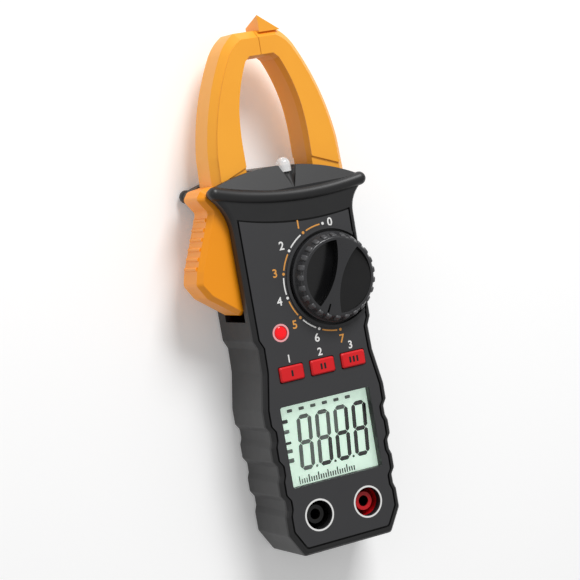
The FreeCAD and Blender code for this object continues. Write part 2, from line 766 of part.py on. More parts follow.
cells = []
for i, sign in enumerate((-1, 1)):
    can = doc.addObject("Part::Cylinder", f"cell_{i}")
    bind(can, Radius="cell_radius", Height="cell_length - 1")
    tip = doc.addObject("Part::Cylinder", f"cell_tip_{i}")
    bind(tip, Radius="cell_radius * 0.36", Height="1")
    can.Placement.Rotation = FreeCAD.Rotation(V(1, 0, 0), -90)
    tip.Placement.Rotation = FreeCAD.Rotation(V(1, 0, 0), -90)
    side = f"({sign}) * cell_x"
    can_y = "cell_low" if sign < 0 else "cell_low + 1"
    tip_y = "cell_low + cell_length - 1" if sign < 0 else "cell_low"
    cells.append(fuse(f"whole_cell_{i}", move(can, side, can_y, "cell_z"), move(tip, side, tip_y, "cell_z")))
node(fuse("aaa_cells", *cells), "aaa_cells")


def battery_metal():
    """Plates at the bay's ends, one wide to join the cells and two single, and two springs."""
    low = size("cover_low") + size("ledge") + 0.05
    high = size("cover_high") - 7.4 - size("ledge") - 0.05
    reach = size("cell_x") + size("cell_radius") - 0.6
    z = size("cell_z")
    near = size("cell_low") - low - 0.4
    far = high - 0.4 - size("cell_low") - size("cell_length")
    left, right = -size("cell_x"), size("cell_x")
    stud = 1.6
    near_left = block((-reach, low, z - 4), (-1, low + 0.4, z + 4))
    near_right = block((1, low, z - 4), (reach, low + 0.4, z + 4))
    near_right = near_right.fuse(Part.makeCylinder(stud, near - 0.05, V(right, low + 0.4, z), V(0, 1, 0)))
    joined = block((-reach, high - 0.4, z - 4), (reach, high, z + 4))
    joined = joined.fuse(Part.makeCylinder(stud, far - 0.05, V(left, high - 0.4, z), V(0, -1, 0)))
    springs = []
    for x, y, gap, turn in ((left, low + 0.4, near, -90), (right, high - 0.4, far, 90)):
        spring = coil(V(0, 0, 0), 2.6, 0.3, 0.4, gap - 0.4, 2.0)
        spring.rotate(V(0, 0, 0), V(1, 0, 0), turn)
        springs.append(spring.translated(V(x, y, z)))
    return [near_left, near_right, joined], springs


plates, cell_springs = battery_metal()
shape_node("battery_contacts", Part.makeCompound(plates))
shape_node("battery_springs", Part.makeCompound(cell_springs))

cover_y = "(cover_low + cover_high) / 2"
cover_blank = plate("cover_blank", "cover_width", "cover_high - cover_low", "cover_thick", "0", cover_y, "0", "1.5")
cover_head = cylinder("cover_head_hole", "head_radius + 0.15", "head_sink + head_depth + 1", "0", "cover_screw_y", "-1")
cover_hole = cylinder("cover_screw_hole", "screw_radius + 0.15", "cover_thick + 2", "0", "cover_screw_y", "-1")
ridges = [centred_box(f"cover_ridge_{i}", "cover_width * 0.55", "0.8", "0.5", "0", f"cover_low + 5 + 1.8 * {i}", "-0.1")
          for i in range(5)]
cover_head.setExpression("Height", bound("head_sink + 0.9 + 1"))
node(cut("battery_cover", cover_blank, cover_head, cover_hole, *ridges), "battery_cover")


def screw(spot, length, sink, head):
    """A cross-head screw, driven in from the back."""
    body = disc(spot, size("head_radius"), sink, sink + head)
    body = body.fuse(disc(spot, size("screw_radius") - 0.02, sink, sink + length))
    for turn in (0, 90):
        slot = block((-1.5, -0.35, sink - 1), (1.5, 0.35, sink + head * 0.6))
        slot.rotate(V(0, 0, 0), UP, turn)
        body = body.cut(slot.translated(spot))
    return body


sink, head = size("head_sink"), size("head_depth")
shape_node("battery_cover_screw", screw(V(0, size("cover_screw_y"), 0), 9.0, sink, 0.9))
screws = [screw(spot, 20.5, sink, head) for spot in case_screw_spots[:3]]
screws.append(screw(root_screw, 24.2, sink, head))
shape_node("case_screws", Part.makeCompound(screws))

# ---------------------------------------------------------------- dial

knob_low = face_back + size("knob_gap")
knob_high = depth + size("knob_height")


def dial_knob():
    """The dial: a beaded disc with two scoops that leave a bar to grip, and its shaft."""
    base, top = size("knob_radius"), size("knob_top_radius")
    profile = [V(0, 0, knob_low), V(base, 0, knob_low), V(base, 0, depth + 1.0), V(base - 0.6, 0, depth + 2.2),
               V(top + 0.9, 0, knob_high - 1.0), V(top - 0.2, 0, knob_high), V(0, 0, knob_high)]
    knob = Part.Face(Part.makePolygon(profile + profile[:1])).revolve(V(0, 0, 0), UP, 360)
    beads = int(size("knob_beads"))
    for i in range(beads):
        angle = math.radians(360 * (i + 0.5) / beads)
        spot = V((base + 0.15) * math.cos(angle), (base + 0.15) * math.sin(angle), depth + 0.8)
        lean = V(-math.cos(angle) * (base - top), -math.sin(angle) * (base - top), size("knob_height"))
        knob = knob.cut(Part.makeCylinder(size("bead_notch"), 12, spot, lean))
    bar = size("grip_bar") / 2
    rim = top - 0.7
    floor = knob_high - size("scoop_depth")
    for side in (-1, 1):
        scoop = disc(V(0, 0, 0), rim, floor, knob_high + 1)
        bow = size("scoop_radius")
        swell = disc(V(side * (bar + bow), 0, 0), bow, floor - 1, knob_high + 2)
        knob = knob.cut(scoop.common(swell))
    slot = block((rim * 0.62, -0.5, knob_high - 0.5), (base + 1, 0.5, knob_high + 1))
    slot.rotate(V(0, 0, 0), UP, 90)
    knob = knob.cut(slot)
    knob = knob.fuse(disc(V(0, 0, 0), size("shaft_radius"), rotor_top(), knob_low + 1))
    knob.rotate(V(0, 0, 0), UP, size("pointer_angle") - 90)
    return knob.translated(dial)


def rotor_top():
    return size("board_top") + 0.6 + size("rotor_thick")


shape_node("dial_knob", dial_knob())


def dial_rotor():
    """The switch rotor under the knob, with its pilot in the board and two detent pockets."""
    low = size("board_top") + 0.6
    rotor = disc(V(0, 0, 0), size("rotor_radius"), low, rotor_top())
    rotor = rotor.fuse(disc(V(0, 0, 0), size("shaft_radius") * 0.6, low - 2.6, low))
    middle = low + size("rotor_thick") / 2
    for side in (-1, 1):
        start = V(side * (size("rotor_radius") - 4.2), 0, middle)
        rotor = rotor.cut(Part.makeCylinder(1.25, 5, start, V(side, 0, 0)))
    return rotor.translated(dial)


shape_node("dial_rotor", dial_rotor())


def detent_parts():
    """Two steel balls and the springs behind them, in the rotor's pockets."""
    low = size("board_top") + 0.6
    middle = low + size("rotor_thick") / 2
    balls, springs = [], []
    for side in (-1, 1):
        balls.append(Part.makeSphere(1.2, V(dial.x + side * (size("rotor_radius") - 0.6), dial.y, middle)))
        spring = coil(V(0, 0, 0), 0.85, 0.16, 0.2, 2.0, 4.0)
        spring.rotate(V(0, 0, 0), V(0, 1, 0), side * 90)
        start = V(dial.x + side * (size("rotor_radius") - 4.2), dial.y, middle)
        springs.append(spring.translated(start))
    return balls, springs


balls, springs = detent_parts()
shape_node("detent_balls", Part.makeCompound(balls))
shape_node("detent_springs", Part.makeCompound(springs))


def detent_ring():
    """The notched ring that the balls click into, seated under the front face."""
    inner = size("rotor_radius") + 0.75
    ring = disc(dial, inner + 1.7, size("board_top") + 0.2, ceiling).cut(disc(dial, inner, 0, ceiling + 1))
    count = int(size("detents"))
    for i in range(count):
        angle = math.radians(360 * i / count)
        notch = V(dial.x + inner * math.cos(angle), dial.y + inner * math.sin(angle), 0)
        ring = ring.cut(disc(notch, 0.8, 0, ceiling + 1))
    return ring


shape_node("detent_ring", detent_ring())


def rotor_contacts():
    """Three sprung fingers under the rotor that wipe the board's tracks."""
    low = size("board_top") + 0.05
    fingers = []
    for i, radius in enumerate((4.4, 6.0, 7.6)):
        leaf = block((radius - 0.5, -2.6, low + 0.3), (radius + 0.5, 2.6, low + 0.5))
        for y in (-2.2, 1.6):
            leaf = leaf.fuse(block((radius - 0.5, y, low), (radius + 0.5, y + 0.6, low + 0.3)))
        leaf = leaf.fuse(block((radius - 0.5, -0.4, low + 0.3), (radius + 0.5, 0.4, low + 0.55)))
        leaf.rotate(V(0, 0, 0), UP, 120 * i)
        fingers.append(leaf.translated(dial))
    return Part.makeCompound(fingers)


shape_node("rotor_contacts", rotor_contacts())

# ---------------------------------------------------------------- buttons

BUTTONS = ("select_button", "range_button", "hold_button")


def button_cap(spot):
    """A rounded cap with a flange below the face and a stem down to its switch."""
    half_x, half_y = size("button_width") / 2, size("button_height") / 2

    def corners(inset, radius):
        return [(spot.x - half_x + inset, spot.y - half_y + inset, radius),
                (spot.x + half_x - inset, spot.y - half_y + inset, radius),
                (spot.x + half_x - inset, spot.y + half_y - inset, radius),
                (spot.x - half_x + inset, spot.y + half_y - inset, radius)]

    top = depth + size("button_proud")
    flange_top = ceiling - 0.2
    flange_low = flange_top - size("button_flange")
    cap = slab(corners(0, 0.8), flange_low, top - 0.5)
    cap = cap.fuse(taper(corners(0, 0.8), top - 0.5, corners(0.5, 0.6), top))
    cap = cap.fuse(slab(corners(-0.8, 1.0), flange_low, flange_top))
    stem_low = size("board_top") + size("switch_height") + 0.8 + size("button_travel") + 0.05
    return cap.fuse(disc(spot, 1.5, stem_low, flange_low + 0.1))


for label, spot in zip(BUTTONS, button_spots):
    shape_node(label, button_cap(spot))

# ---------------------------------------------------------------- jaws

def jaw_outer(corners_of, root, low, high, bevel_front, bevel_back):
    """A jaw's outside: a straight middle with bevelled front and back edges, and its root."""
    inner = size("jaw_inner_bevel")
    pad = size("jaw_pad")
    start, end = low, high
    solid = None
    full = corners_of(0, 0, size("seam_gap"), guard_base - 1.0)
    bevel = size("jaw_bevel") if bevel_front else size("jaw_back_bevel")
    drawn = corners_of(bevel, inner, size("seam_gap"), guard_base - 1.0)
    raised = corners_of(bevel, inner, size("seam_gap"), guard_base + 9.2, size("pad_drop"))
    if bevel_back:
        start = low + pad
        solid = taper(drawn, start, full, start + bevel)
        solid = solid.fuse(slab(full, start + bevel, end))
        solid = solid.fuse(slab(raised, low, start))
    if bevel_front:
        end = high - pad
        solid = taper(full, end - bevel, drawn, end).fuse(slab(full, start, end - bevel))
        solid = solid.fuse(slab(raised, end, high))
    return solid.fuse(slab(root, start, end))


def right_corners(outer, inner, seam, low, drop=0):
    return jaw_corners(outer, inner, seam, low, drop)


def left_corners(outer, inner, seam, low, drop=0):
    return mirrored(jaw_corners(outer, inner, seam, low, drop))


def fixed_root():
    """The fixed jaw's root, seated in the case and clamped by a screw."""
    bore = size("window_half")
    edge = bore + size("jaw_width")
    return [(bore - 0.3, guard_base - 14.4), (edge - 4.4, guard_base - 14.4), (edge - 4.4, guard_base - 6.4),
            (edge, guard_base - 1.0), (edge, guard_base - 0.5), (bore - 0.3, guard_base - 0.5)]


def moving_root():
    """The moving jaw's root, which reaches round the pivot."""
    bore = size("window_half")
    edge = bore + size("jaw_width")
    hub = size("hub_radius")
    return [(-edge, guard_base - 1.0), (-pivot_edge(), pivot.y + 4.5, 1.5), (-pivot_edge(), pivot.y - 1.5, 1.0),
            (pivot.x - 3.0, pivot.y - hub + 0.4, 1.5), (pivot.x + 3.0, pivot.y - hub + 0.4, 1.5),
            (pivot.x + hub - 0.4, pivot.y - 2.8, 1.5), (pivot.x + hub - 0.4, pivot.y + 3.0, 1.5),
            (-bore + 0.3, guard_base - 1.0), (-bore + 0.3, guard_base - 0.5), (-edge, guard_base - 0.5)]


def pivot_edge():
    return size("pivot_x") + size("hub_radius") - 0.3


def jaw_inside(corners_of, low, high):
    """The jaw's hollow for its core and coil."""
    thick = size("jaw_wall")
    return slab(corners_of(thick, thick, 1.4, guard_base + 2.0), low, high)


def jaw_core(corners_of):
    """Half of the magnetic core, its end face at the seam."""
    inset = size("jaw_width") / 2 - 3.4
    height = size("jaw_depth") / 2 - 3.8
    return slab(corners_of(inset, inset, size("seam_gap"), guard_base + 2.4), split - height, split + height)


def jaw_coil(corners_of):
    """The winding round the core, above the guard."""
    inset = size("jaw_wall") + 0.15
    height = size("jaw_depth") / 2 - size("jaw_wall") - 0.3
    winding = slab(corners_of(inset, inset, 1.6, guard_base + 8.0), split - height, split + height)
    limit = guard_base + 30.0
    winding = winding.cut(block((-60, limit, 0), (60, limit + 80, depth)))
    room_in = size("jaw_width") / 2 - 3.5
    room_half = size("jaw_depth") / 2 - 3.7
    core_room = corners_of(room_in, room_in, size("seam_gap"), guard_base + 2.3)
    return winding.cut(slab(core_room, split - room_half, split + room_half))


def jaw_half(corners_of, root, front, cuts):
    """The front or the rear half of a jaw's shell."""
    thick = size("jaw_wall") + 0.1
    if front:
        shell = jaw_outer(corners_of, root, split, jaw_high, True, False)
    else:
        shell = jaw_outer(corners_of, root, jaw_low, split, False, True)
    shell = shell.cut(jaw_inside(corners_of, jaw_low + thick, jaw_high - thick))
    shell = shell.cut(jaw_core(corners_of))
    for tool in cuts:
        shell = shell.cut(tool)
    return shell


def jaw_nub():
    """The pointed nub at the tip of the fixed jaw, for parting cables."""
    base = size("jaw_top") - 0.8
    front, back = jaw_high - 1.0, jaw_high - 11.5
    left, right = 1.2, 9.6
    near = [V(left, base, front), V(right, base, front), V(left, base + 6.2, front)]
    far = [V(left, base, back), V(right - 3.4, base, back), V(left, base + 2.4, back)]
    faces = [near, [far[0], far[2], far[1]], [near[0], near[2], far[2], far[0]],
             [near[0], far[0], far[1], near[1]]]
    faces += [[near[1], far[1], far[2]], [near[1], far[2], near[2]]]
    shells = [Part.Face(Part.makePolygon(f + f[:1])) for f in faces]
    return Part.makeSolid(Part.makeShell(shells))


screw_way = disc(root_screw, size("screw_radius") + 0.15, 0, depth)
pin_way = disc(pivot, size("pin_radius") + size("pin_fit"), 0, depth)
spring_low, spring_high = split + 1.6, jaw_high + size("jaw_clear") - 0.3
spring_way = disc(pivot, size("hub_radius") - 1.6, spring_low - 0.2, depth)
spring_slot = block((pivot.x, pivot.y - 1.2, spring_low - 0.2), (pivot.x + 12, pivot.y + 1.2, depth))

fixed_front = jaw_half(right_corners, fixed_root(), True, [screw_way])
nub = jaw_nub()
shape_node("fixed_jaw_front", fixed_front.fuse(nub.common(block((-60, 0, split), (60, 300, depth)))))
fixed_rear = jaw_half(right_corners, fixed_root(), False, [screw_way])
shape_node("fixed_jaw_rear", fixed_rear.fuse(nub.common(block((-60, 0, 0), (60, 300, split)))))
shape_node("fixed_jaw_core", jaw_core(right_corners))
shape_node("fixed_jaw_coil", jaw_coil(right_corners))
shape_node("moving_jaw_front", jaw_half(left_corners, moving_root(), True, [pin_way, spring_way, spring_slot]))
shape_node("moving_jaw_rear", jaw_half(left_corners, moving_root(), False, [pin_way]))
shape_node("moving_jaw_core", jaw_core(left_corners))
shape_node("moving_jaw_coil", jaw_coil(left_corners))

pin = cylinder("pin_blank", "pin_radius", "case_depth - panel_thick - wall + 1.1 - 2.6", "-pivot_x", "pivot_y", "2.6")
node(pin, "jaw_pivot_pin")


def jaw_spring():
    """The torsion spring round the pivot that shuts the jaws, with its two legs."""
    radius = (size("pin_radius") + size("hub_radius") - 1.6) / 2
    spring = coil(pivot, radius, 0.5, spring_low + 0.5, spring_high - 0.6, 4.0)
    return spring


shape_node("jaw_spring", jaw_spring())

# ---------------------------------------------------------------- trigger

def trigger_corners(inset):
    """The trigger in plan: its guard flange, ribbed back and lower tip, drawn in by inset."""
    reach, peak, low = size("trigger_reach"), size("trigger_peak"), size("trigger_low")
    edge = size("window_half") + size("jaw_width")
    inner = pivot_edge()
    return [
        (-24.4, low + inset, 1.5),
        (-inner - 0.6, low + 5.0, 1.5),
        (-inner - 0.6, pivot.y - 8.0, 1.0),
        (-inner, pivot.y - 6.5, 0),
        (-inner, pivot.y + 4.0, 0),
        (-edge, guard_base - 1.0, 0),
        (-edge, guard_base + 4.6 - inset, 0),
        (-edge - 5.2 + inset, guard_base + 3.8 - inset, 1.5),
        (-edge - 7.4 + inset, guard_base + 1.0, 1.5),
        (-edge - 3.6 + inset, guard_base - 4.4, 2.0),
        (-reach + 1.2 + inset, peak + 3.6, 1.5),
        (-reach + inset, peak - 1.2, 2.0),
        (-reach + 3.4 + inset * 0.8, peak - 6.6 + inset * 0.5, 4.0),
    ]


def trigger():
    """The lever that the thumb presses: bevelled front and back, ribbed on its outside."""
    low, high = jaw_low + 0.2, jaw_high - 0.2
    bevel = 1.9
    lever = taper(trigger_corners(bevel), low, trigger_corners(0), low + bevel)
    lever = lever.fuse(slab(trigger_corners(0), low + bevel, high - bevel))
    lever = lever.fuse(taper(trigger_corners(0), high - bevel, trigger_corners(bevel), high))
    edge = size("window_half") + size("jaw_width")
    count = int(size("rib_count"))
    start = V(-edge - 4.3, guard_base - 7.0, 0)
    end = V(-size("trigger_reach") + 1.8, size("trigger_peak") + 4.5, 0)
    for i in range(count):
        spot = start + (end - start) * (i / (count - 1))
        rib = disc(spot, size("rib_radius"), low + bevel + 0.6, high - bevel - 0.6)
        lever = lever.fuse(rib)
    return lever


shape_node("trigger", trigger())

# ---------------------------------------------------------------- checks and files

doc.recompute()
for item in doc.Objects:
    if "Invalid" in item.State or "Error" in item.State:
        raise RuntimeError(f"{item.Label} failed: {item.State}")
for item in nodes:
    if item.Shape.isNull() or not item.Shape.isValid():
        raise RuntimeError(f"{item.Label} has no valid shape")

os.makedirs("parts", exist_ok=True)
for item in nodes:
    item.Shape.exportStep(f"parts/{item.Label}.step")
    print(item.Label, len(item.Shape.Solids), round(item.Shape.Volume, 1))
print(len(nodes), "nodes")
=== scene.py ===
import math

import bpy
from bpy.props import FloatProperty, FloatVectorProperty, IntProperty, PointerProperty
from mathutils import Matrix, Vector


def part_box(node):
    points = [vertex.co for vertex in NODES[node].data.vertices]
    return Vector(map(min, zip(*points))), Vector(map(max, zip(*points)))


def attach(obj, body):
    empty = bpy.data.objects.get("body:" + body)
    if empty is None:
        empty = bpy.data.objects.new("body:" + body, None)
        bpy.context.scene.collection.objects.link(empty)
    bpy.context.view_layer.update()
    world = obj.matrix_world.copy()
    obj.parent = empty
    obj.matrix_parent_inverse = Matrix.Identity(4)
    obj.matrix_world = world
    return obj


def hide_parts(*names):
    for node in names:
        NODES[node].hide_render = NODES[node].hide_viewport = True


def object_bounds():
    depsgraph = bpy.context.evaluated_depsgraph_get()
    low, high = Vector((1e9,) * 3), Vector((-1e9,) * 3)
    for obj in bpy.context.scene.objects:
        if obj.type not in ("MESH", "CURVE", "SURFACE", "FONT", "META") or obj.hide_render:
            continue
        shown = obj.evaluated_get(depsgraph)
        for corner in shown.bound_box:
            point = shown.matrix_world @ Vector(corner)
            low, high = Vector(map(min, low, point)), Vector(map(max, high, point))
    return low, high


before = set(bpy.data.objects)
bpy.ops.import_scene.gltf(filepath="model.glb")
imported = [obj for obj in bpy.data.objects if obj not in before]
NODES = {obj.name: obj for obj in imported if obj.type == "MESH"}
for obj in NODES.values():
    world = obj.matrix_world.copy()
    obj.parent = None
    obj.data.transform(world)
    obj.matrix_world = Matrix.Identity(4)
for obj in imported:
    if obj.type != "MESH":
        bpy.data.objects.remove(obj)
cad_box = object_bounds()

bl_info = {
    "name": "Clamp Meter",
    "version": (1, 0, 0),
    "blender": (4, 5, 0),
    "location": "3D View > Sidebar > Meter",
    "description": "Builds the finish and the printed detail of a clamp meter on its frame",
    "category": "Object",
}

MM = 0.001


# ---------------------------------------------------------------- sizes and colours

def linear(code):
    """An sRGB hex colour as linear red, green and blue."""
    values = [int(code[i:i + 2], 16) / 255 for i in (1, 3, 5)]
    return tuple(v / 12.92 if v <= 0.04045 else ((v + 0.055) / 1.055) ** 2.4 for v in values)


def size_of(name, description, millimetres):
    """A length that a user can change, given in millimetres."""
    return FloatProperty(name=name, description=description, default=millimetres * MM, unit="LENGTH",
                         precision=5)


def colour_of(name, description, code):
    """A colour that a user can change, given as an sRGB hex value."""
    return FloatVectorProperty(name=name, description=description, default=linear(code),
                               subtype="COLOR", size=3, min=0, max=1)


class MeterSizes(bpy.types.PropertyGroup):
    """Sizes of the pieces that are modelled here."""
    face: size_of("Face height", "Height of the front face above the flat back", 28.0)
    ink: size_of("Ink thickness", "How far printed marks stand off the front panel", 0.05)
    knob_radius: size_of("Knob radius", "Radius of the dial's base", 16.6)
    knob_top_radius: size_of("Knob top radius", "Radius of the dial's top face", 13.9)
    knob_height: size_of("Knob height", "Height of the dial above the front face", 5.8)
    scoop_depth: size_of("Scoop depth", "Depth of the two finger scoops", 3.8)
    bar_waist: size_of("Bar waist", "Thickness of the grip bar at its middle", 2.8)
    mark_radius: size_of("Mark radius", "Radius of the ring of dots round the dial", 19.7)
    digit_height: size_of("Digit height", "Height of the display's digits", 20.4)
    digit_width: size_of("Digit width", "Width of the display's digits", 6.2)
    digit_pitch: size_of("Digit pitch", "Distance between the display's digits", 7.75)
    scoop_bow: size_of("Scoop bow", "Radius of the edge between each scoop and the grip bar", 27.5)
    bead_count: IntProperty(name="Beads", description="Beads round the dial's shoulder",
                            default=25, min=8)
    pointer_angle: FloatProperty(name="Pointer angle", description="Direction of the dial's pointer",
                                 default=math.radians(244.3), subtype="ANGLE")


class MeterColours(bpy.types.PropertyGroup):
    """Colours of the finishes."""
    case: colour_of("Case", "Moulded case", "#1F1F20")
    panel: colour_of("Panel", "Front panel", "#353537")
    amber: colour_of("Jaws", "Jaw mouldings", "#FFAC30")
    amber_deep: colour_of("Trigger", "Trigger moulding", "#FF9C06")
    button: colour_of("Buttons", "Push buttons", "#E00E18")
    lamp: colour_of("Lamp", "Voltage lamp", "#F0101A")
    white_ink: colour_of("White ink", "White print", "#F2F2F0")
    orange_ink: colour_of("Orange ink", "Orange print", "#E8A24A")
    display: colour_of("Display", "Lit display glass", "#DCF5E4")


def sizes():
    return bpy.context.scene.meter_sizes


def colours():
    return bpy.context.scene.meter_colours


# ---------------------------------------------------------------- materials

def add_node(material, kind, values=None, links=None, **settings):
    """Adds one shader node, sets its sockets and settings, and links its inputs from other sockets."""
    node = material.node_tree.nodes.new(kind)
    for name, value in settings.items():
        setattr(node, name, value)
    for socket, value in (values or {}).items():
        node.inputs[socket].default_value = value
    for socket, source in (links or {}).items():
        material.node_tree.links.new(source, node.inputs[socket])
    return node


def new_material(name):
    material = bpy.data.materials.new(name)
    material.use_nodes = True
    material.node_tree.nodes.clear()
    return material


def close_material(material, shader):
    add_node(material, "ShaderNodeOutputMaterial", links={"Surface": shader.outputs[0]})
    return material


def shade(colour, factor):
    return tuple(min(1.0, c * factor) for c in colour[:3]) + (1.0,)


def mottled(material, place, colour, size, spread):
    """A colour that drifts a little over patches of the given size in metres."""
    noise = add_node(material, "ShaderNodeTexNoise", {"Scale": 1 / size, "Detail": 3.0},
                     {"Vector": place})
    ramp = add_node(material, "ShaderNodeValToRGB", links={"Fac": noise.outputs["Fac"]})
    ramp.color_ramp.elements[0].position = 0.3
    ramp.color_ramp.elements[0].color = shade(colour, 1 - spread)
    ramp.color_ramp.elements[1].position = 0.7
    ramp.color_ramp.elements[1].color = shade(colour, 1 + spread)
    return ramp.outputs["Color"]


def grained(material, place, size, depth, strength):
    """A bump of round grains of the given size and depth in metres."""
    grain = add_node(material, "ShaderNodeTexVoronoi", {"Scale": 1 / size}, {"Vector": place},
                     feature="SMOOTH_F1")
    bump = add_node(material, "ShaderNodeBump", {"Strength": strength, "Distance": depth},
                    {"Height": grain.outputs["Distance"]})
    return bump.outputs["Normal"]


def uneven_gloss(material, place, size, low, high):
    """A roughness between two values over patches of the given size in metres."""
    noise = add_node(material, "ShaderNodeTexNoise", {"Scale": 1 / size, "Detail": 4.0},
                     {"Vector": place})
    span = add_node(material, "ShaderNodeMapRange", {"To Min": low, "To Max": high},
                    {"Value": noise.outputs["Fac"]})
    return span.outputs["Result"]


def moulded(name, colour, gloss=(0.42, 0.52), grain=0.35, depth=0.02, strength=0.25, patch=9.0,
            spread=0.05, ior=1.53):
    """A moulded plastic or an ink: even colour, fine grain from its making, gloss that varies a little.

    grain, depth and patch are in millimetres."""
    material = new_material(name)
    place = add_node(material, "ShaderNodeTexCoord").outputs["Object"]
    shader = add_node(material, "ShaderNodeBsdfPrincipled", {"IOR": ior}, {
        "Base Color": mottled(material, place, colour, patch * MM, spread),
        "Roughness": uneven_gloss(material, place, patch * 0.4 * MM, *gloss),
        "Normal": grained(material, place, grain * MM, depth * MM, strength),
    })
    return close_material(material, shader)


def metal(name, colour, gloss, grain=0.12, stretch=(1, 1, 1), depth=0.01):
    """A worked metal: fine scratches, drawn out along the axes where stretch is small.

    grain and depth are in millimetres."""
    material = new_material(name)
    place = add_node(material, "ShaderNodeTexCoord").outputs["Object"]
    along = add_node(material, "ShaderNodeMapping", {"Scale": stretch}, {"Vector": place})
    noise = add_node(material, "ShaderNodeTexNoise", {"Scale": 1 / (grain * MM), "Detail": 4.0},
                     {"Vector": along.outputs["Vector"]})
    span = add_node(material, "ShaderNodeMapRange", {"To Min": gloss[0], "To Max": gloss[1]},
                    {"Value": noise.outputs["Fac"]})
    bump = add_node(material, "ShaderNodeBump", {"Strength": 0.3, "Distance": depth * MM},
                    {"Height": noise.outputs["Fac"]})
    shader = add_node(material, "ShaderNodeBsdfPrincipled", {"Metallic": 1.0}, {
        "Base Color": mottled(material, place, colour, 3 * MM, 0.05),
        "Roughness": span.outputs["Result"],
        "Normal": bump.outputs["Normal"],
    })
    return close_material(material, shader)


MATERIALS = {}


def make_materials():
    """Every finish, by name. Each starts from the real material and how its surface was made; the
    scoops, the beads, the brass, the torch lens and the lamp ring also carry painted light, as noted.
    """
    c = colours()
    m = MATERIALS
    # ABS blend, moulded against a spark-eroded tool: an even, slightly soft sheen with 0.35 mm grain
    m["case"] = moulded("spark_textured_abs", c.case, gloss=(0.36, 0.46), strength=0.3)
    # polycarbonate sheet, screen-printed grey over a fine matt skin: flatter and paler than the case
    m["panel"] = moulded("matt_printed_polycarbonate", c.panel, gloss=(0.5, 0.58), grain=0.22,
                         depth=0.01, strength=0.2, patch=14.0, spread=0.03)
    # acetal, moulded smooth for a thumb wheel: tight highlights along its edges
    m["knob"] = moulded("smooth_moulded_acetal", linear("#303032"), gloss=(0.24, 0.32), grain=0.5,
                        strength=0.12)
    # the same acetal, a little glossier in the two scoops and darkened there as painted shade: they
    # read darker than the bar between them
    m["scoop"] = moulded("scoop_painted_shade_acetal", linear("#0F0F10"), gloss=(0.2, 0.28), grain=0.5,
                         strength=0.05)
    # the same acetal, made paler on the beads as a painted highlight: the beads stand out paler
    m["bead"] = moulded("bead_painted_highlight_acetal", linear("#4C4C4E"), gloss=(0.28, 0.36), grain=0.4,
                        strength=0.1)
    # polyamide, moulded in amber against a fine satin tool: saturated, with soft highlights
    m["amber"] = moulded("satin_moulded_polyamide", c.amber, gloss=(0.34, 0.42), grain=0.45,
                         depth=0.015, strength=0.15, patch=16.0, spread=0.03)
    # the same polyamide with more pigment: the trigger reads deeper than the jaws
    m["amber_deep"] = moulded("deep_amber_polyamide", c.amber_deep, gloss=(0.32, 0.4), grain=0.45,
                              depth=0.015, strength=0.15, patch=16.0, spread=0.03)
    # silicone rubber keys, moulded and post-cured: deep red with a soft skin
    m["button"] = moulded("moulded_red_silicone", c.button, gloss=(0.38, 0.46), grain=0.3,
                          strength=0.15)
    # acetal socket liners, moulded against polished pins: wet-looking rims with small highlights
    m["socket_black"] = moulded("polished_black_acetal", linear("#141414"), gloss=(0.16, 0.24),
                                grain=0.6, strength=0.05)
    m["socket_red"] = moulded("polished_red_acetal", linear("#D4101C"), gloss=(0.16, 0.24),
                              grain=0.6, strength=0.05)
    # polyester screen ink: flat and opaque, with a dry edge that stands just off the panel
    m["white_ink"] = moulded("white_screen_ink", c.white_ink, gloss=(0.45, 0.55), grain=0.15,
                             strength=0.1, spread=0.02)
    m["orange_ink"] = moulded("orange_screen_ink", c.orange_ink, gloss=(0.45, 0.55), grain=0.15,
                              strength=0.1, spread=0.02)
    m["black_ink"] = moulded("black_screen_ink", linear("#101010"), gloss=(0.45, 0.55), grain=0.15,
                             strength=0.1, spread=0.02)
    # undyed polyamide for hidden mouldings: milky white and soft
    m["natural"] = moulded("natural_polyamide", linear("#D9D6CC"), gloss=(0.4, 0.5))
    # layered silicone strips between the display and the board: dull grey
    m["strip"] = moulded("layered_silicone_strip", linear("#55565A"), gloss=(0.6, 0.7))
    # epoxy glass laminate under green solder mask: glossy, and blotched where tracks lie under it
    m["board"] = moulded("solder_masked_laminate", linear("#0E5A33"), gloss=(0.25, 0.35), grain=1.1,
                         strength=0.1, patch=3.0, spread=0.18)
    # enamelled copper wire, wound in layers: glossy brown with a fine ribbed skin
    m["winding"] = moulded("enamelled_copper_winding", linear("#9A4A1E"), gloss=(0.25, 0.35),
                           grain=0.3, strength=0.5)
    # shrink-wrapped jacket of the cells: smooth dark blue film with sharp highlights
    m["jacket"] = moulded("shrink_wrapped_jacket", linear("#23324A"), gloss=(0.15, 0.25), grain=2.0,
                          strength=0.05)
    # nickel-plated spring steel, drawn and tumbled: bright, with fine scratches all ways
    m["steel"] = metal("nickel_plated_steel", linear("#B9BABD"), (0.22, 0.36))
    # brass turned on a lathe under a dull nickel flash: warm grey, darkened all over as painted shade
    # for the bores it sits in
    m["brass"] = metal("turned_brass", linear("#5E574C"), (0.22, 0.34), stretch=(1, 1, 0.2))
    # stacked silicon-steel sheet, ground on its end faces: dull grey with the layers just showing
    m["core"] = metal("stacked_silicon_steel", linear("#6C6E72"), (0.35, 0.5), grain=0.5,
                      stretch=(0.1, 0.1, 1))
    m["display"] = display_material(c.display)
    # acrylic light guide, frosted on its back: even pale green-white
    m["backlight"] = moulded("frosted_light_guide", linear("#E8F4EA"), gloss=(0.3, 0.4))
    # polycarbonate window, moulded and hard-coated: clear, with a faint reflection over the display
    m["window"] = clear_material("clear_polycarbonate", 0.02, 1.58)
    # epoxy lens, cast over the torch's diode: milky, with a faint painted glow that stands in for the
    # bright glints on the lens
    m["torch"] = clear_material("clear_epoxy_lens", 0.12, 1.52, 0.55, 0.1)
    m["lamp"] = lamp_material(c.lamp)
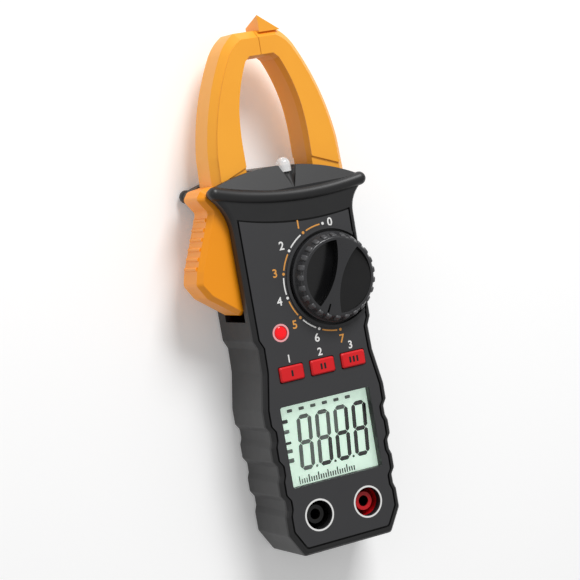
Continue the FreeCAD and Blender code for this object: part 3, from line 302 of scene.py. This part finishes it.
    # white screen ink with the lamp's red glow painted into its colour: a pale pink ring
    m["lamp_ring"] = moulded("ink_ring_painted_glow", linear("#F4A9AC"), gloss=(0.4, 0.5), grain=0.15,
                             strength=0.1)
    # dyed liquid-crystal segments, on and ghosted: flat black and flat grey under the window
    m["segment"] = moulded("dark_crystal_segment", linear("#0B0D0C"), gloss=(0.3, 0.36), grain=0.4,
                           strength=0.02)
    m["ghost"] = moulded("ghost_crystal_segment", linear("#75807A"), gloss=(0.3, 0.36), grain=0.4,
                         strength=0.02)


def display_material(colour):
    """Liquid-crystal glass over a lit guide: pale green and a little uneven, with a steady glow."""
    material = new_material("lit_crystal_glass")
    place = add_node(material, "ShaderNodeTexCoord").outputs["Object"]
    base = mottled(material, place, colour, 30 * MM, 0.05)
    shader = add_node(material, "ShaderNodeBsdfPrincipled", {"IOR": 1.5, "Emission Strength": 0.6}, {
        "Base Color": base,
        "Emission Color": base,
        "Roughness": uneven_gloss(material, place, 4 * MM, 0.2, 0.28),
        "Normal": grained(material, place, 0.2 * MM, 0.002 * MM, 0.05),
    })
    return close_material(material, shader)


def clear_material(name, roughness, ior, clearness=1.0, glow=0.0):
    """A clear moulding: polished, with faint waviness from the mould.

    clearness below 1 makes it milky, and glow lights it from inside."""
    ripple, waviness = 6 * MM, 0.01 * MM
    material = new_material(name)
    place = add_node(material, "ShaderNodeTexCoord").outputs["Object"]
    noise = add_node(material, "ShaderNodeTexNoise", {"Scale": 1 / ripple, "Detail": 1.0},
                     {"Vector": place})
    bump = add_node(material, "ShaderNodeBump", {"Strength": 0.05, "Distance": waviness},
                    {"Height": noise.outputs["Fac"]})
    shader = add_node(material, "ShaderNodeBsdfPrincipled",
                      {"IOR": ior, "Transmission Weight": clearness, "Roughness": roughness,
                       "Base Color": (1.0, 1.0, 1.0, 1.0), "Emission Strength": glow,
                       "Emission Color": (1.0, 1.0, 1.0, 1.0)},
                      {"Normal": bump.outputs["Normal"]})
    return close_material(material, shader)


def lamp_material(colour):
    """A dyed epoxy lens with the lamp lit behind it: brighter in the middle."""
    material = new_material("lit_red_epoxy")
    place = add_node(material, "ShaderNodeTexCoord").outputs["Object"]
    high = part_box("voltage_lens")[1]
    centre = middle("voltage_lens")
    lens_radius = 2.6 * MM
    apart = add_node(material, "ShaderNodeVectorMath", links={0: place}, operation="DISTANCE")
    apart.inputs[1].default_value = (centre.x, centre.y, high.z)
    ramp = add_node(material, "ShaderNodeMapRange",
                    {"From Min": 0.0, "From Max": lens_radius, "To Min": 1.0, "To Max": 0.25},
                    {"Value": apart.outputs["Value"]})
    tint = add_node(material, "ShaderNodeMixRGB",
                    {"Color1": shade(colour, 0.5), "Color2": shade(colour, 1.0)},
                    {"Fac": ramp.outputs["Result"]})
    shader = add_node(material, "ShaderNodeBsdfPrincipled", {"IOR": 1.52, "Emission Strength": 0.65}, {
        "Base Color": tint.outputs["Color"],
        "Emission Color": tint.outputs["Color"],
        "Roughness": uneven_gloss(material, place, 1 * MM, 0.08, 0.14),
    })
    return close_material(material, shader)


# ---------------------------------------------------------------- modelling helpers

def deselect():
    if bpy.context.object and bpy.context.object.mode != "OBJECT":
        bpy.ops.object.mode_set(mode="OBJECT")
    bpy.ops.object.select_all(action="DESELECT")


def select_only(obj):
    deselect()
    obj.select_set(True)
    bpy.context.view_layer.objects.active = obj


def edit_all():
    """Enters edit mode on the active object with everything in it selected."""
    bpy.ops.object.mode_set(mode="EDIT")
    bpy.ops.mesh.select_mode(type="VERT")
    bpy.ops.mesh.select_all(action="SELECT")


def pick(obj, wanted):
    """In edit mode on obj, selects just the faces for which wanted(face) holds."""
    bpy.ops.object.mode_set(mode="OBJECT")
    for part in (obj.data.vertices, obj.data.edges, obj.data.polygons):
        for item in part:
            item.select = False
    for face in obj.data.polygons:
        if wanted(face):
            face.select = True
    bpy.ops.object.mode_set(mode="EDIT")
    bpy.ops.mesh.select_mode(type="FACE")


def settle(obj):
    """Moves the object's place, turn and scale into its mesh."""
    select_only(obj)
    bpy.ops.object.transform_apply(location=True, rotation=True, scale=True)
    return obj


def apply_modifier(obj, kind, **settings):
    """Adds one modifier with its settings and applies it."""
    select_only(obj)
    modifier = obj.modifiers.new(kind, kind)
    for name, value in settings.items():
        setattr(modifier, name, value)
    bpy.ops.object.modifier_apply(modifier=modifier.name)
    return obj


def join(pieces, name):
    """Makes one object of several."""
    deselect()
    for piece in pieces:
        piece.select_set(True)
    bpy.context.view_layer.objects.active = pieces[0]
    if len(pieces) > 1:
        bpy.ops.object.join()
    pieces[0].name = name
    pieces[0].data.name = name
    return pieces[0]


def copied(obj, matrix):
    """A copy with its own mesh, which the matrix moves."""
    twin = obj.copy()
    twin.data = obj.data.copy()
    bpy.context.collection.objects.link(twin)
    twin.data.transform(matrix)
    return twin


def dress(obj, name, material, body):
    """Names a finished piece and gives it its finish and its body."""
    obj.name = name
    obj.data.name = name
    obj.data.materials.clear()
    obj.data.materials.append(MATERIALS[material])
    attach(obj, body)
    return obj


def finish_node(node, material):
    """Gives a piece of the frame its finish."""
    obj = NODES[node]
    if not obj.material_slots:
        obj.data.materials.append(MATERIALS[material])
    for slot in obj.material_slots:
        slot.link = "OBJECT"
        slot.material = MATERIALS[material]


def about(centre, angle):
    """A turn about an upright axis through a point."""
    return Matrix.Translation(centre) @ Matrix.Rotation(angle, 4, "Z") @ Matrix.Translation(-centre)


def middle(node):
    """The middle of a node's box at rest."""
    low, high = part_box(node)
    return (low + high) / 2


def thicken(thick):
    """In edit mode, raises the whole flat mesh by a thickness and turns its faces outwards."""
    bpy.ops.mesh.select_all(action="SELECT")
    bpy.ops.mesh.extrude_region_move(TRANSFORM_OT_translate={"value": (0, 0, thick)})
    bpy.ops.mesh.select_all(action="SELECT")
    bpy.ops.mesh.normals_make_consistent(inside=False)
    bpy.ops.object.mode_set(mode="OBJECT")


def flat_ring(centre, outer, inner, height, thick):
    """A flat ring, its underside at a height."""
    deselect()
    bpy.ops.mesh.primitive_circle_add(vertices=96, radius=inner, fill_type="NOTHING",
                                      location=(centre.x, centre.y, height))
    ring = bpy.context.object
    edit_all()
    bpy.ops.mesh.extrude_region()
    bpy.ops.transform.resize(value=(outer / inner, outer / inner, 1))
    thicken(thick)
    return settle(ring)


def arc_strokes(centre, radius, width, spans, height, thick):
    """Printed strokes along a circle, one for each pair of angles in spans."""
    facets = 280
    facet = 2 * math.pi / facets
    deselect()
    bpy.ops.mesh.primitive_circle_add(vertices=facets, radius=radius - width / 2, fill_type="NOTHING",
                                      location=(centre.x, centre.y, height))
    ring = bpy.context.object
    edit_all()
    bpy.ops.mesh.extrude_region()
    wider = (radius + width / 2) / (radius - width / 2)
    bpy.ops.transform.resize(value=(wider, wider, 1))
    bpy.ops.object.mode_set(mode="OBJECT")
    settle(ring)

    def outside(face):
        angle = math.atan2(face.center.y - centre.y, face.center.x - centre.x) % (2 * math.pi)
        return not any(start - facet / 4 < angle < end + facet / 4 for start, end in spans)

    pick(ring, outside)
    bpy.ops.mesh.delete(type="FACE")
    thicken(thick)
    return ring


def dot(spot, radius, height, thick):
    """A printed dot whose top edge is a little drawn in."""
    deselect()
    bpy.ops.mesh.primitive_cylinder_add(vertices=24, radius=radius, depth=thick,
                                        location=(spot.x, spot.y, height + thick / 2))
    mark = bpy.context.object
    pick(mark, lambda face: face.normal.z > 0.9)
    bpy.ops.transform.resize(value=(0.92, 0.92, 1))
    return settle(mark)


def numeral(text, spot, height_of, height, thick):
    """A plain printed numeral centred on a spot."""
    capital = 0.7                  # a figure's height as a share of the font's size
    boldness = 0.025               # how far the outline is let out, as a share of the height
    deselect()
    bpy.ops.object.text_add(location=(spot.x, spot.y, height + thick / 2))
    mark = bpy.context.object
    mark.data.body = text
    mark.data.size = height_of / capital
    mark.data.align_x = "CENTER"
    mark.data.align_y = "CENTER"
    mark.data.extrude = thick / 2
    mark.data.offset = height_of * boldness
    mark.data.resolution_u = 4
    bpy.ops.object.convert(target="MESH")
    return settle(bpy.context.object)


def bar(low, high, height, thick):
    """A flat printed bar with softened corners between two points in plan."""
    wide, tall = high.x - low.x, high.y - low.y
    softness = 0.2                 # corner size as a share of the narrow side
    deselect()
    bpy.ops.mesh.primitive_plane_add(size=1, location=((low.x + high.x) / 2, (low.y + high.y) / 2,
                                                       height))
    mark = bpy.context.object
    mark.scale = (wide, tall, 1)
    settle(mark)
    edit_all()
    bpy.ops.mesh.bevel(offset=min(wide, tall) * softness, segments=2, affect="VERTICES")
    thicken(thick)
    return mark


# ---------------------------------------------------------------- operators

class METER_OT_case(bpy.types.Operator):
    """Finishes the two case halves, the battery cover and the front panel"""
    bl_idname = "meter.case"
    bl_label = "Case"

    def execute(self, context):
        for node in ("front_case", "rear_case", "battery_cover"):
            finish_node(node, "case")
        finish_node("front_panel", "panel")
        finish_node("voltage_lens", "lamp")
        finish_node("torch_lamp", "torch")
        for node in ("case_screws", "battery_cover_screw"):
            finish_node(node, "steel")
        return {"FINISHED"}


class METER_OT_jaws(bpy.types.Operator):
    """Finishes the jaws, the trigger and what is inside them"""
    bl_idname = "meter.jaws"
    bl_label = "Jaws and trigger"

    def execute(self, context):
        for node in ("fixed_jaw_front", "fixed_jaw_rear", "moving_jaw_front", "moving_jaw_rear"):
            finish_node(node, "amber")
        finish_node("trigger", "amber_deep")
        for node in ("fixed_jaw_core", "moving_jaw_core"):
            finish_node(node, "core")
        for node in ("fixed_jaw_coil", "moving_jaw_coil"):
            finish_node(node, "winding")
        for node in ("jaw_pivot_pin", "jaw_spring"):
            finish_node(node, "steel")
        return {"FINISHED"}


class METER_OT_insides(bpy.types.Operator):
    """Finishes the board, the cells, the sockets and the switch parts"""
    bl_idname = "meter.insides"
    bl_label = "Insides and sockets"

    def execute(self, context):
        finishes = {
            "circuit_board": "board", "tact_switches": "steel", "buzzer": "socket_black",
            "voltage_led": "lamp",
            "display_frame": "natural", "display_connectors": "strip", "display_backlight": "backlight",
            "display_window": "window", "display_glass": "display", "common_socket": "socket_black",
            "signal_socket": "socket_red", "socket_contacts": "brass", "aaa_cells": "jacket",
            "battery_contacts": "steel", "battery_springs": "steel", "dial_rotor": "natural",
            "detent_balls": "steel", "detent_springs": "steel", "detent_ring": "natural",
            "rotor_contacts": "brass", "select_button": "button", "range_button": "button",
            "hold_button": "button",
        }
        for node, material in finishes.items():
            finish_node(node, material)
        return {"FINISHED"}


class METER_OT_knob(bpy.types.Operator):
    """Models the dial's knob: a stepped disc with beads, two scoops, a pointer slot and a shaft"""
    bl_idname = "meter.knob"
    bl_label = "Dial knob"

    def execute(self, context):
        s = sizes()
        centre = middle("dial_rotor")
        top = s.face + s.knob_height
        knob = self.disc(centre, top)
        cutters = [self.scoop(centre, side, top) for side in (-1, 1)] + [self.pointer(centre, top)]
        for cutter in cutters:
            apply_modifier(knob, "BOOLEAN", operation="DIFFERENCE", object=cutter, solver="EXACT")
            bpy.data.objects.remove(cutter)
        apply_modifier(knob, "BEVEL", width=0.28 * MM, segments=3, limit_method="ANGLE",
                       angle_limit=math.radians(38), miter_outer="MITER_ARC")
        bead = self.bead(centre, top)
        turn = 2 * math.pi / s.bead_count
        beads = join([copied(bead, about(centre, turn * i)) for i in range(s.bead_count)], "dial_beads")
        bpy.data.objects.remove(bead)
        for piece in (beads, knob):
            piece.data.transform(about(centre, s.pointer_angle))
            select_only(piece)
            bpy.ops.object.shade_smooth_by_angle(angle=math.radians(40))
        apply_modifier(knob, "WEIGHTED_NORMAL", keep_sharp=True, weight=90)
        # the beads' paler acetal is a painted highlight
        dress(beads, "dial_beads", "bead", "dial")
        dress(knob, "dial_knob_finished", "knob", "dial")
        # the scoops' faces take the darker acetal: painted shade
        self.darken_scoops(knob, centre, top)
        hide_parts("dial_knob")
        return {"FINISHED"}

    def disc(self, centre, top):
        """The stepped disc: a skirt, a sloping shoulder, a rounded rim and a shaft to the rotor."""
        s = sizes()
        skirt = 2.2 * MM
        base = s.face - 0.9 * MM
        shaft_radius = 4.6 * MM
        deselect()
        bpy.ops.mesh.primitive_cylinder_add(vertices=s.bead_count * 4, radius=s.knob_radius,
                                            depth=skirt,
                                            location=(centre.x, centre.y, base + skirt / 2))
        knob = settle(bpy.context.object)
        radius, level = s.knob_radius, base + skirt
        steps = ((s.knob_radius - 0.7 * MM, level + 0.7 * MM),
                 (s.knob_top_radius + 1.3 * MM, top - 1.3 * MM),
                 (s.knob_top_radius + 0.6 * MM, top - 0.4 * MM),
                 (s.knob_top_radius, top))
        pick(knob, lambda face: face.normal.z > 0.9)
        for next_radius, next_level in steps:
            rise, shrink = next_level - level, next_radius / radius
            bpy.ops.mesh.extrude_region_move(TRANSFORM_OT_translate={"value": (0, 0, rise)})
            bpy.ops.transform.resize(value=(shrink, shrink, 1))
            radius, level = next_radius, next_level
        pick(knob, lambda face: face.normal.z < -0.9)
        bpy.ops.mesh.inset(thickness=s.knob_radius - shaft_radius)
        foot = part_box("dial_rotor")[1].z
        bpy.ops.mesh.extrude_region_move(TRANSFORM_OT_translate={"value": (0, 0, foot - base)})
        bpy.ops.mesh.select_all(action="SELECT")
        bpy.ops.mesh.normals_make_consistent(inside=False)
        bpy.ops.object.mode_set(mode="OBJECT")
        return knob

    def darken_scoops(self, knob, centre, top):
        """Gives the scoops' floors and walls a darker acetal: painted shade in the scoops."""
        s = sizes()
        floor, brim = top - s.scoop_depth - 0.1 * MM, top - 0.12 * MM
        reach = s.knob_top_radius - 0.5 * MM
        knob.data.materials.append(MATERIALS["scoop"])
        for face in knob.data.polygons:
            out = (face.center.xy - centre.xy).length
            if floor < face.center.z < brim and out < reach:
                face.material_index = 1

    def scoop(self, centre, side, top):
        """A lens-shaped cutter whose floor falls from the rim to the bar."""
        s = sizes()
        rim = s.knob_top_radius - 0.6 * MM
        rim_depth = 0.25 * MM
        bow = s.scoop_bow
        wall = side * s.bar_waist / 2
        hub = centre.y + side * (bow + s.bar_waist / 2)
        deselect()
        bpy.ops.mesh.primitive_cylinder_add(vertices=120, radius=rim, depth=12 * MM,
                                            location=(centre.x, centre.y, top))
        scoop = settle(bpy.context.object)
        deselect()
        bpy.ops.mesh.primitive_cylinder_add(vertices=360, radius=bow, depth=30 * MM,
                                            location=(centre.x, hub, top))
        bowed = settle(bpy.context.object)
        apply_modifier(scoop, "BOOLEAN", operation="INTERSECT", object=bowed, solver="EXACT")
        bpy.data.objects.remove(bowed)
        select_only(scoop)
        edit_all()
        fall = (s.scoop_depth - rim_depth) / (rim - s.bar_waist / 2)
        bpy.ops.mesh.bisect(plane_co=(centre.x, centre.y + wall, top - s.scoop_depth),
                            plane_no=(0, -side * fall, 1), use_fill=True, clear_inner=True)
        bpy.ops.mesh.select_all(action="SELECT")
        bpy.ops.mesh.normals_make_consistent(inside=False)
        bpy.ops.object.mode_set(mode="OBJECT")
        return scoop

    def pointer(self, centre, top):
        """A cutter for the slot that points outwards at one end of the bar."""
        reach, sink = 13.4 * MM, 0.2 * MM
        off_bar, slope = math.radians(-4), math.radians(9)
        deselect()
        bpy.ops.mesh.primitive_cube_add(size=1, location=(centre.x + reach, centre.y, top - sink))
        slot = bpy.context.object
        slot.scale = (5.6 * MM, 1.1 * MM, 1.6 * MM)
        slot.rotation_euler = (0, slope, 0)
        settle(slot)
        slot.data.transform(about(centre, off_bar))
        pick(slot, lambda face: face.normal.z < -0.7)
        bpy.ops.transform.resize(value=(1, 0.45, 1))
        bpy.ops.object.mode_set(mode="OBJECT")
        return slot

    def bead(self, centre, top):
        """One raised, rounded pad on the knob's shoulder."""
        reach = sizes().knob_top_radius + 0.95 * MM
        sink = 1.5 * MM
        deselect()
        bpy.ops.mesh.primitive_cube_add(size=1, location=(centre.x + reach, centre.y, top - sink))
        bead = bpy.context.object
        bead.scale = (1.7 * MM, 2.2 * MM, 2.8 * MM)
        bead.rotation_euler = (0, math.radians(-24), 0)
        settle(bead)
        edit_all()
        bpy.ops.mesh.bevel(offset=0.55 * MM, segments=3, affect="EDGES")
        bpy.ops.object.mode_set(mode="OBJECT")
        return bead


class METER_OT_dial_marks(bpy.types.Operator):
    """Prints the dots, the arcs between them and plain numerals round the dial"""
    bl_idname = "meter.dial_marks"
    bl_label = "Dial marks"

    def execute(self, context):
        s = sizes()
        centre = middle("dial_rotor")
        stops = 8
        step = math.radians(180 / 7)
        dot_radius, figure, line = 0.55 * MM, 3.0 * MM, 0.5 * MM
        beside, beyond = 3.0 * MM, 3.5 * MM      # from a dot to its figure: the first one, the others
        clear = 0.15                             # gap at each end of an arc, as a share of a step
        white, orange = [], []
        spans = ([], [])
        for i in range(stops):
            angle = math.radians(90) + i * step
            out = Vector((math.cos(angle), math.sin(angle), 0))
            spot = centre + out * s.mark_radius
            place = centre + out * (s.mark_radius + beyond) if i else spot + Vector((beside, 0, 0))
            tone = orange if i % 2 else white
            tone.append(dot(spot, dot_radius, s.face, s.ink))
            tone.append(numeral(str(i), place, figure, s.face, s.ink))
            if i < stops - 1:
                spans[i % 2].append((angle + step * clear, angle + step * (1 - clear)))
        orange.append(arc_strokes(centre, s.mark_radius, line, spans[0], s.face, s.ink))
        white.append(arc_strokes(centre, s.mark_radius, line, spans[1], s.face, s.ink))
        for marks, tone in ((white, "white"), (orange, "orange")):
            name = "dial_marks_" + tone
            dress(join(marks, name), name, tone + "_ink", "housing")
        return {"FINISHED"}


class METER_OT_rings(bpy.types.Operator):
    """Prints the rings round the sockets and the lamp, and models the lips inside the sockets"""
    bl_idname = "meter.rings"
    bl_label = "Rings and lips"

    def execute(self, context):
        s = sizes()
        rings = [flat_ring(middle(node), 5.95 * MM, 5.32 * MM, s.face, s.ink)
                 for node in ("common_socket", "signal_socket")]
        dress(join(rings, "socket_rings"), "socket_rings", "white_ink", "housing")
        lip_outer, lip_inner, lip = 2.98 * MM, 2.05 * MM, 0.42 * MM
        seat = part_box("socket_contacts")[1].z
        for node, material, slot in (("common_socket", "socket_black", "black_socket"),
                                     ("signal_socket", "socket_red", "red_socket")):
            piece = flat_ring(middle(node), lip_outer, lip_inner, seat, lip)
            dress(piece, node + "_lip", material, "housing")
        ring = flat_ring(middle("voltage_lens"), 3.3 * MM, 2.6 * MM, s.face, s.ink)
        # the ring's pink is the lamp's glow painted into the ink
        dress(ring, "lamp_ring", "lamp_ring", "housing")
        return {"FINISHED"}


class METER_OT_buttons(bpy.types.Operator):
    """Prints plain bars on each button and a plain numeral above it"""
    bl_idname = "meter.buttons"
    bl_label = "Button marks"

    def execute(self, context):
        s = sizes()
        bodies = {"select_button": "select", "range_button": "range", "hold_button": "hold"}
        half = Vector((0.4 * MM, 1.1 * MM, 0))
        pitch, ink = 1.5 * MM, 0.03 * MM
        above, figure = 5.2 * MM, 2.8 * MM
        labels = []
        for i, (node, body) in enumerate(bodies.items()):
            spot = middle(node)
            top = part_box(node)[1].z
            marks = []
            for j in range(i + 1):
                at = spot + Vector(((j - i / 2) * pitch, 0, 0))
                marks.append(bar(at - half, at + half, top, ink))
            dress(join(marks, body + "_mark"), body + "_mark", "black_ink", body)
            labels.append(numeral(str(i + 1), spot + Vector((0, above, 0)), figure, s.face, s.ink))
        name = "button_numerals"
        dress(join(labels, name), name, "white_ink", "housing")
        return {"FINISHED"}


class METER_OT_display(bpy.types.Operator):
    """Lays the display's digits, points, scale and side marks on its glass"""
    bl_idname = "meter.display"
    bl_label = "Display segments"

    def execute(self, context):
        glass = middle("display_glass")
        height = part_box("display_glass")[1].z
        thick = 0.04 * MM
        dark, grey = [], []
        self.digits(glass, height, thick, dark, grey)
        self.side_marks(glass, height, thick, dark, grey)
        dress(join(dark, "display_segments_on"), "display_segments_on", "segment", "housing")
        dress(join(grey, "display_segments_ghost"), "display_segments_ghost", "ghost", "housing")
        return {"FINISHED"}

    def digits(self, glass, height, thick, dark, grey):
        """Four leaning digits of seven segments, with a point after each of the first three.

        Each digit's tones are given from its top bar clockwise, the middle bar last."""
        s = sizes()
        stroke, gap = 1.6 * MM, 0.3 * MM
        wide, tall = s.digit_width, s.digit_height
        left, foot = glass.x - 12.9 * MM, glass.y - 10.1 * MM
        point_radius, point_rise = 0.5 * MM, 0.6 * MM
        level = self.segment(glass, wide - stroke - gap, stroke, height, thick)
        upright = self.segment(glass, (tall - stroke) / 2 - gap, stroke, height, thick)
        upright.data.transform(about(glass, math.radians(90)))
        slant = Matrix.Identity(4)
        slant[0][1] = math.tan(math.radians(5))
        lean = Matrix.Translation((0, foot, 0)) @ slant @ Matrix.Translation((0, -foot, 0))
        for i, tones in enumerate(("ggggggg", "ggddggg", "gddddgd", "ddddddd")):
            x0 = left + i * s.digit_pitch + stroke / 2
            x1 = left + i * s.digit_pitch + wide - stroke / 2
            y0, y1, y2 = foot + stroke / 2, foot + tall / 2, foot + tall - stroke / 2
            spots = ((level, (x0 + x1) / 2, y2),
                     (upright, x1, (y1 + y2) / 2),
                     (upright, x1, (y0 + y1) / 2),
                     (level, (x0 + x1) / 2, y0),
                     (upright, x0, (y0 + y1) / 2),
                     (upright, x0, (y1 + y2) / 2),
                     (level, (x0 + x1) / 2, y1))
            for (shape, x, y), tone in zip(spots, tones):
                place = Matrix.Translation((x - glass.x, y - glass.y, 0))
                (dark if tone == "d" else grey).append(copied(shape, lean @ place))
            if i < 3:
                spot = Vector((x1 + (s.digit_pitch - wide + stroke) / 2, foot + point_rise, 0))
                (dark if i else grey).append(dot(spot, point_radius, height, thick))
        for shape in (level, upright):
            bpy.data.objects.remove(shape)

    def side_marks(self, glass, height, thick, dark, grey):
        """A scale of ticks along the bottom, and plain bars down the left and along the top."""
        for i in range(24):
            tick = Vector((0.5, 2.9 if i % 4 == 0 else 1.8, 0)) * MM
            low = glass + Vector((i - 14.2, -14.6, 0)) * MM
            (dark if i > 3 else grey).append(bar(low, low + tick, height, thick))
        signs = ((8.4, 1.4), (4.6, 1.4), (0.6, 1.0), (-2.6, 1.4), (-6.2, 1.6))
        for i, (rise, tall) in enumerate(signs):
            low = glass + Vector((-17.2, rise, 0)) * MM
            tone = dark if i in (0, 2) else grey
            tone.append(bar(low, low + Vector((2.4, tall, 0)) * MM, height, thick))
        for i in range(6):
            low = glass + Vector((i * 4.9 - 14.5, 12.0, 0)) * MM
            grey.append(bar(low, low + Vector((2.2, 1.2, 0)) * MM, height, thick))

    def segment(self, centre, length, width, height, thick):
        """One bar with pointed ends, lying along X."""
        deselect()
        bpy.ops.mesh.primitive_plane_add(size=1, location=(centre.x, centre.y, height))
        piece = bpy.context.object
        piece.scale = (length, width, 1)
        settle(piece)
        edit_all()
        bpy.ops.mesh.bevel(offset=width * 0.48, segments=1, affect="VERTICES")
        thicken(thick)
        return piece


class METER_OT_stage(bpy.types.Operator):
    """Lays the pale floor and sets the lights and the camera"""
    bl_idname = "meter.stage"
    bl_label = "Stage"

    def execute(self, context):
        self.floor()
        target = (0, 0.08, 0.01)
        self.area((0.22, 0.98, 0.80), target, 0.5, 11.5)
        self.area((-0.80, 0.30, 0.60), target, 0.30, 0.3)
        world = bpy.data.worlds.new("studio")
        context.scene.world = world
        world.use_nodes = True
        background = world.node_tree.nodes["Background"]
        background.inputs["Color"].default_value = (1, 1, 1, 1)
        background.inputs["Strength"].default_value = 0.38
        deselect()
        tilt, turn, roll = math.radians(0.116), math.radians(-27.319), math.radians(-10.860)
        bpy.ops.object.camera_add(location=(-0.33628, 0.14444, 0.67693), rotation=(tilt, turn, roll))
        camera = bpy.context.object
        camera.data.lens = 125.34
        camera.data.sensor_width = 36
        camera.data.clip_start = 0.01
        camera.data.clip_end = 20
        context.scene.camera = camera
        context.scene.view_settings.view_transform = "Standard"
        return {"FINISHED"}

    def floor(self):
        """A wide sheet of pale paper, just under the meter."""
        gap = 0.2 * MM
        deselect()
        bpy.ops.mesh.primitive_plane_add(size=6, location=(0, 0.08, cad_box[0][2] - gap))
        floor = bpy.context.object
        floor.name = "floor"
        # uncoated paper, rolled matt: white, with the faintest drift of tone and a lift of its own
        material = new_material("pale_paper")
        place = add_node(material, "ShaderNodeTexCoord").outputs["Object"]
        tone = mottled(material, place, linear("#FAFAFA"), 0.6, 0.01)
        shader = add_node(material, "ShaderNodeBsdfPrincipled",
                          {"Roughness": 0.9, "Emission Strength": 0.18},
                          {"Base Color": tone, "Emission Color": tone})
        floor.data.materials.append(close_material(material, shader))

    def area(self, spot, target, width, power):
        """A square soft light that faces a target."""
        deselect()
        bpy.ops.object.light_add(type="AREA", location=spot)
        light = bpy.context.object
        light.data.size = width
        light.data.energy = power
        light.rotation_euler = (Vector(target) - Vector(spot)).to_track_quat("-Z", "Y").to_euler()


class METER_PT_panel(bpy.types.Panel):
    """Lists the meter's sizes, colours and steps"""
    bl_idname = "METER_PT_panel"
    bl_label = "Clamp Meter"
    bl_space_type = "VIEW_3D"
    bl_region_type = "UI"
    bl_category = "Meter"

    def draw(self, context):
        for group in (context.scene.meter_sizes, context.scene.meter_colours):
            for name in group.__annotations__:
                self.layout.prop(group, name)
        for step in STEPS:
            self.layout.operator(step.bl_idname)


STEPS = (METER_OT_case, METER_OT_jaws, METER_OT_insides, METER_OT_knob, METER_OT_dial_marks,
         METER_OT_rings, METER_OT_buttons, METER_OT_display, METER_OT_stage)
CLASSES = (MeterSizes, MeterColours) + STEPS + (METER_PT_panel,)


def register():
    for cls in CLASSES:
        bpy.utils.register_class(cls)
    bpy.types.Scene.meter_sizes = PointerProperty(type=MeterSizes)
    bpy.types.Scene.meter_colours = PointerProperty(type=MeterColours)


def unregister():
    del bpy.types.Scene.meter_sizes
    del bpy.types.Scene.meter_colours
    for cls in reversed(CLASSES):
        bpy.utils.unregister_class(cls)


def main():
    register()
    make_materials()
    for step in STEPS:
        group, name = step.bl_idname.split(".")
        getattr(getattr(bpy.ops, group), name)()
    deselect()


if __name__ == "__main__":
    main()
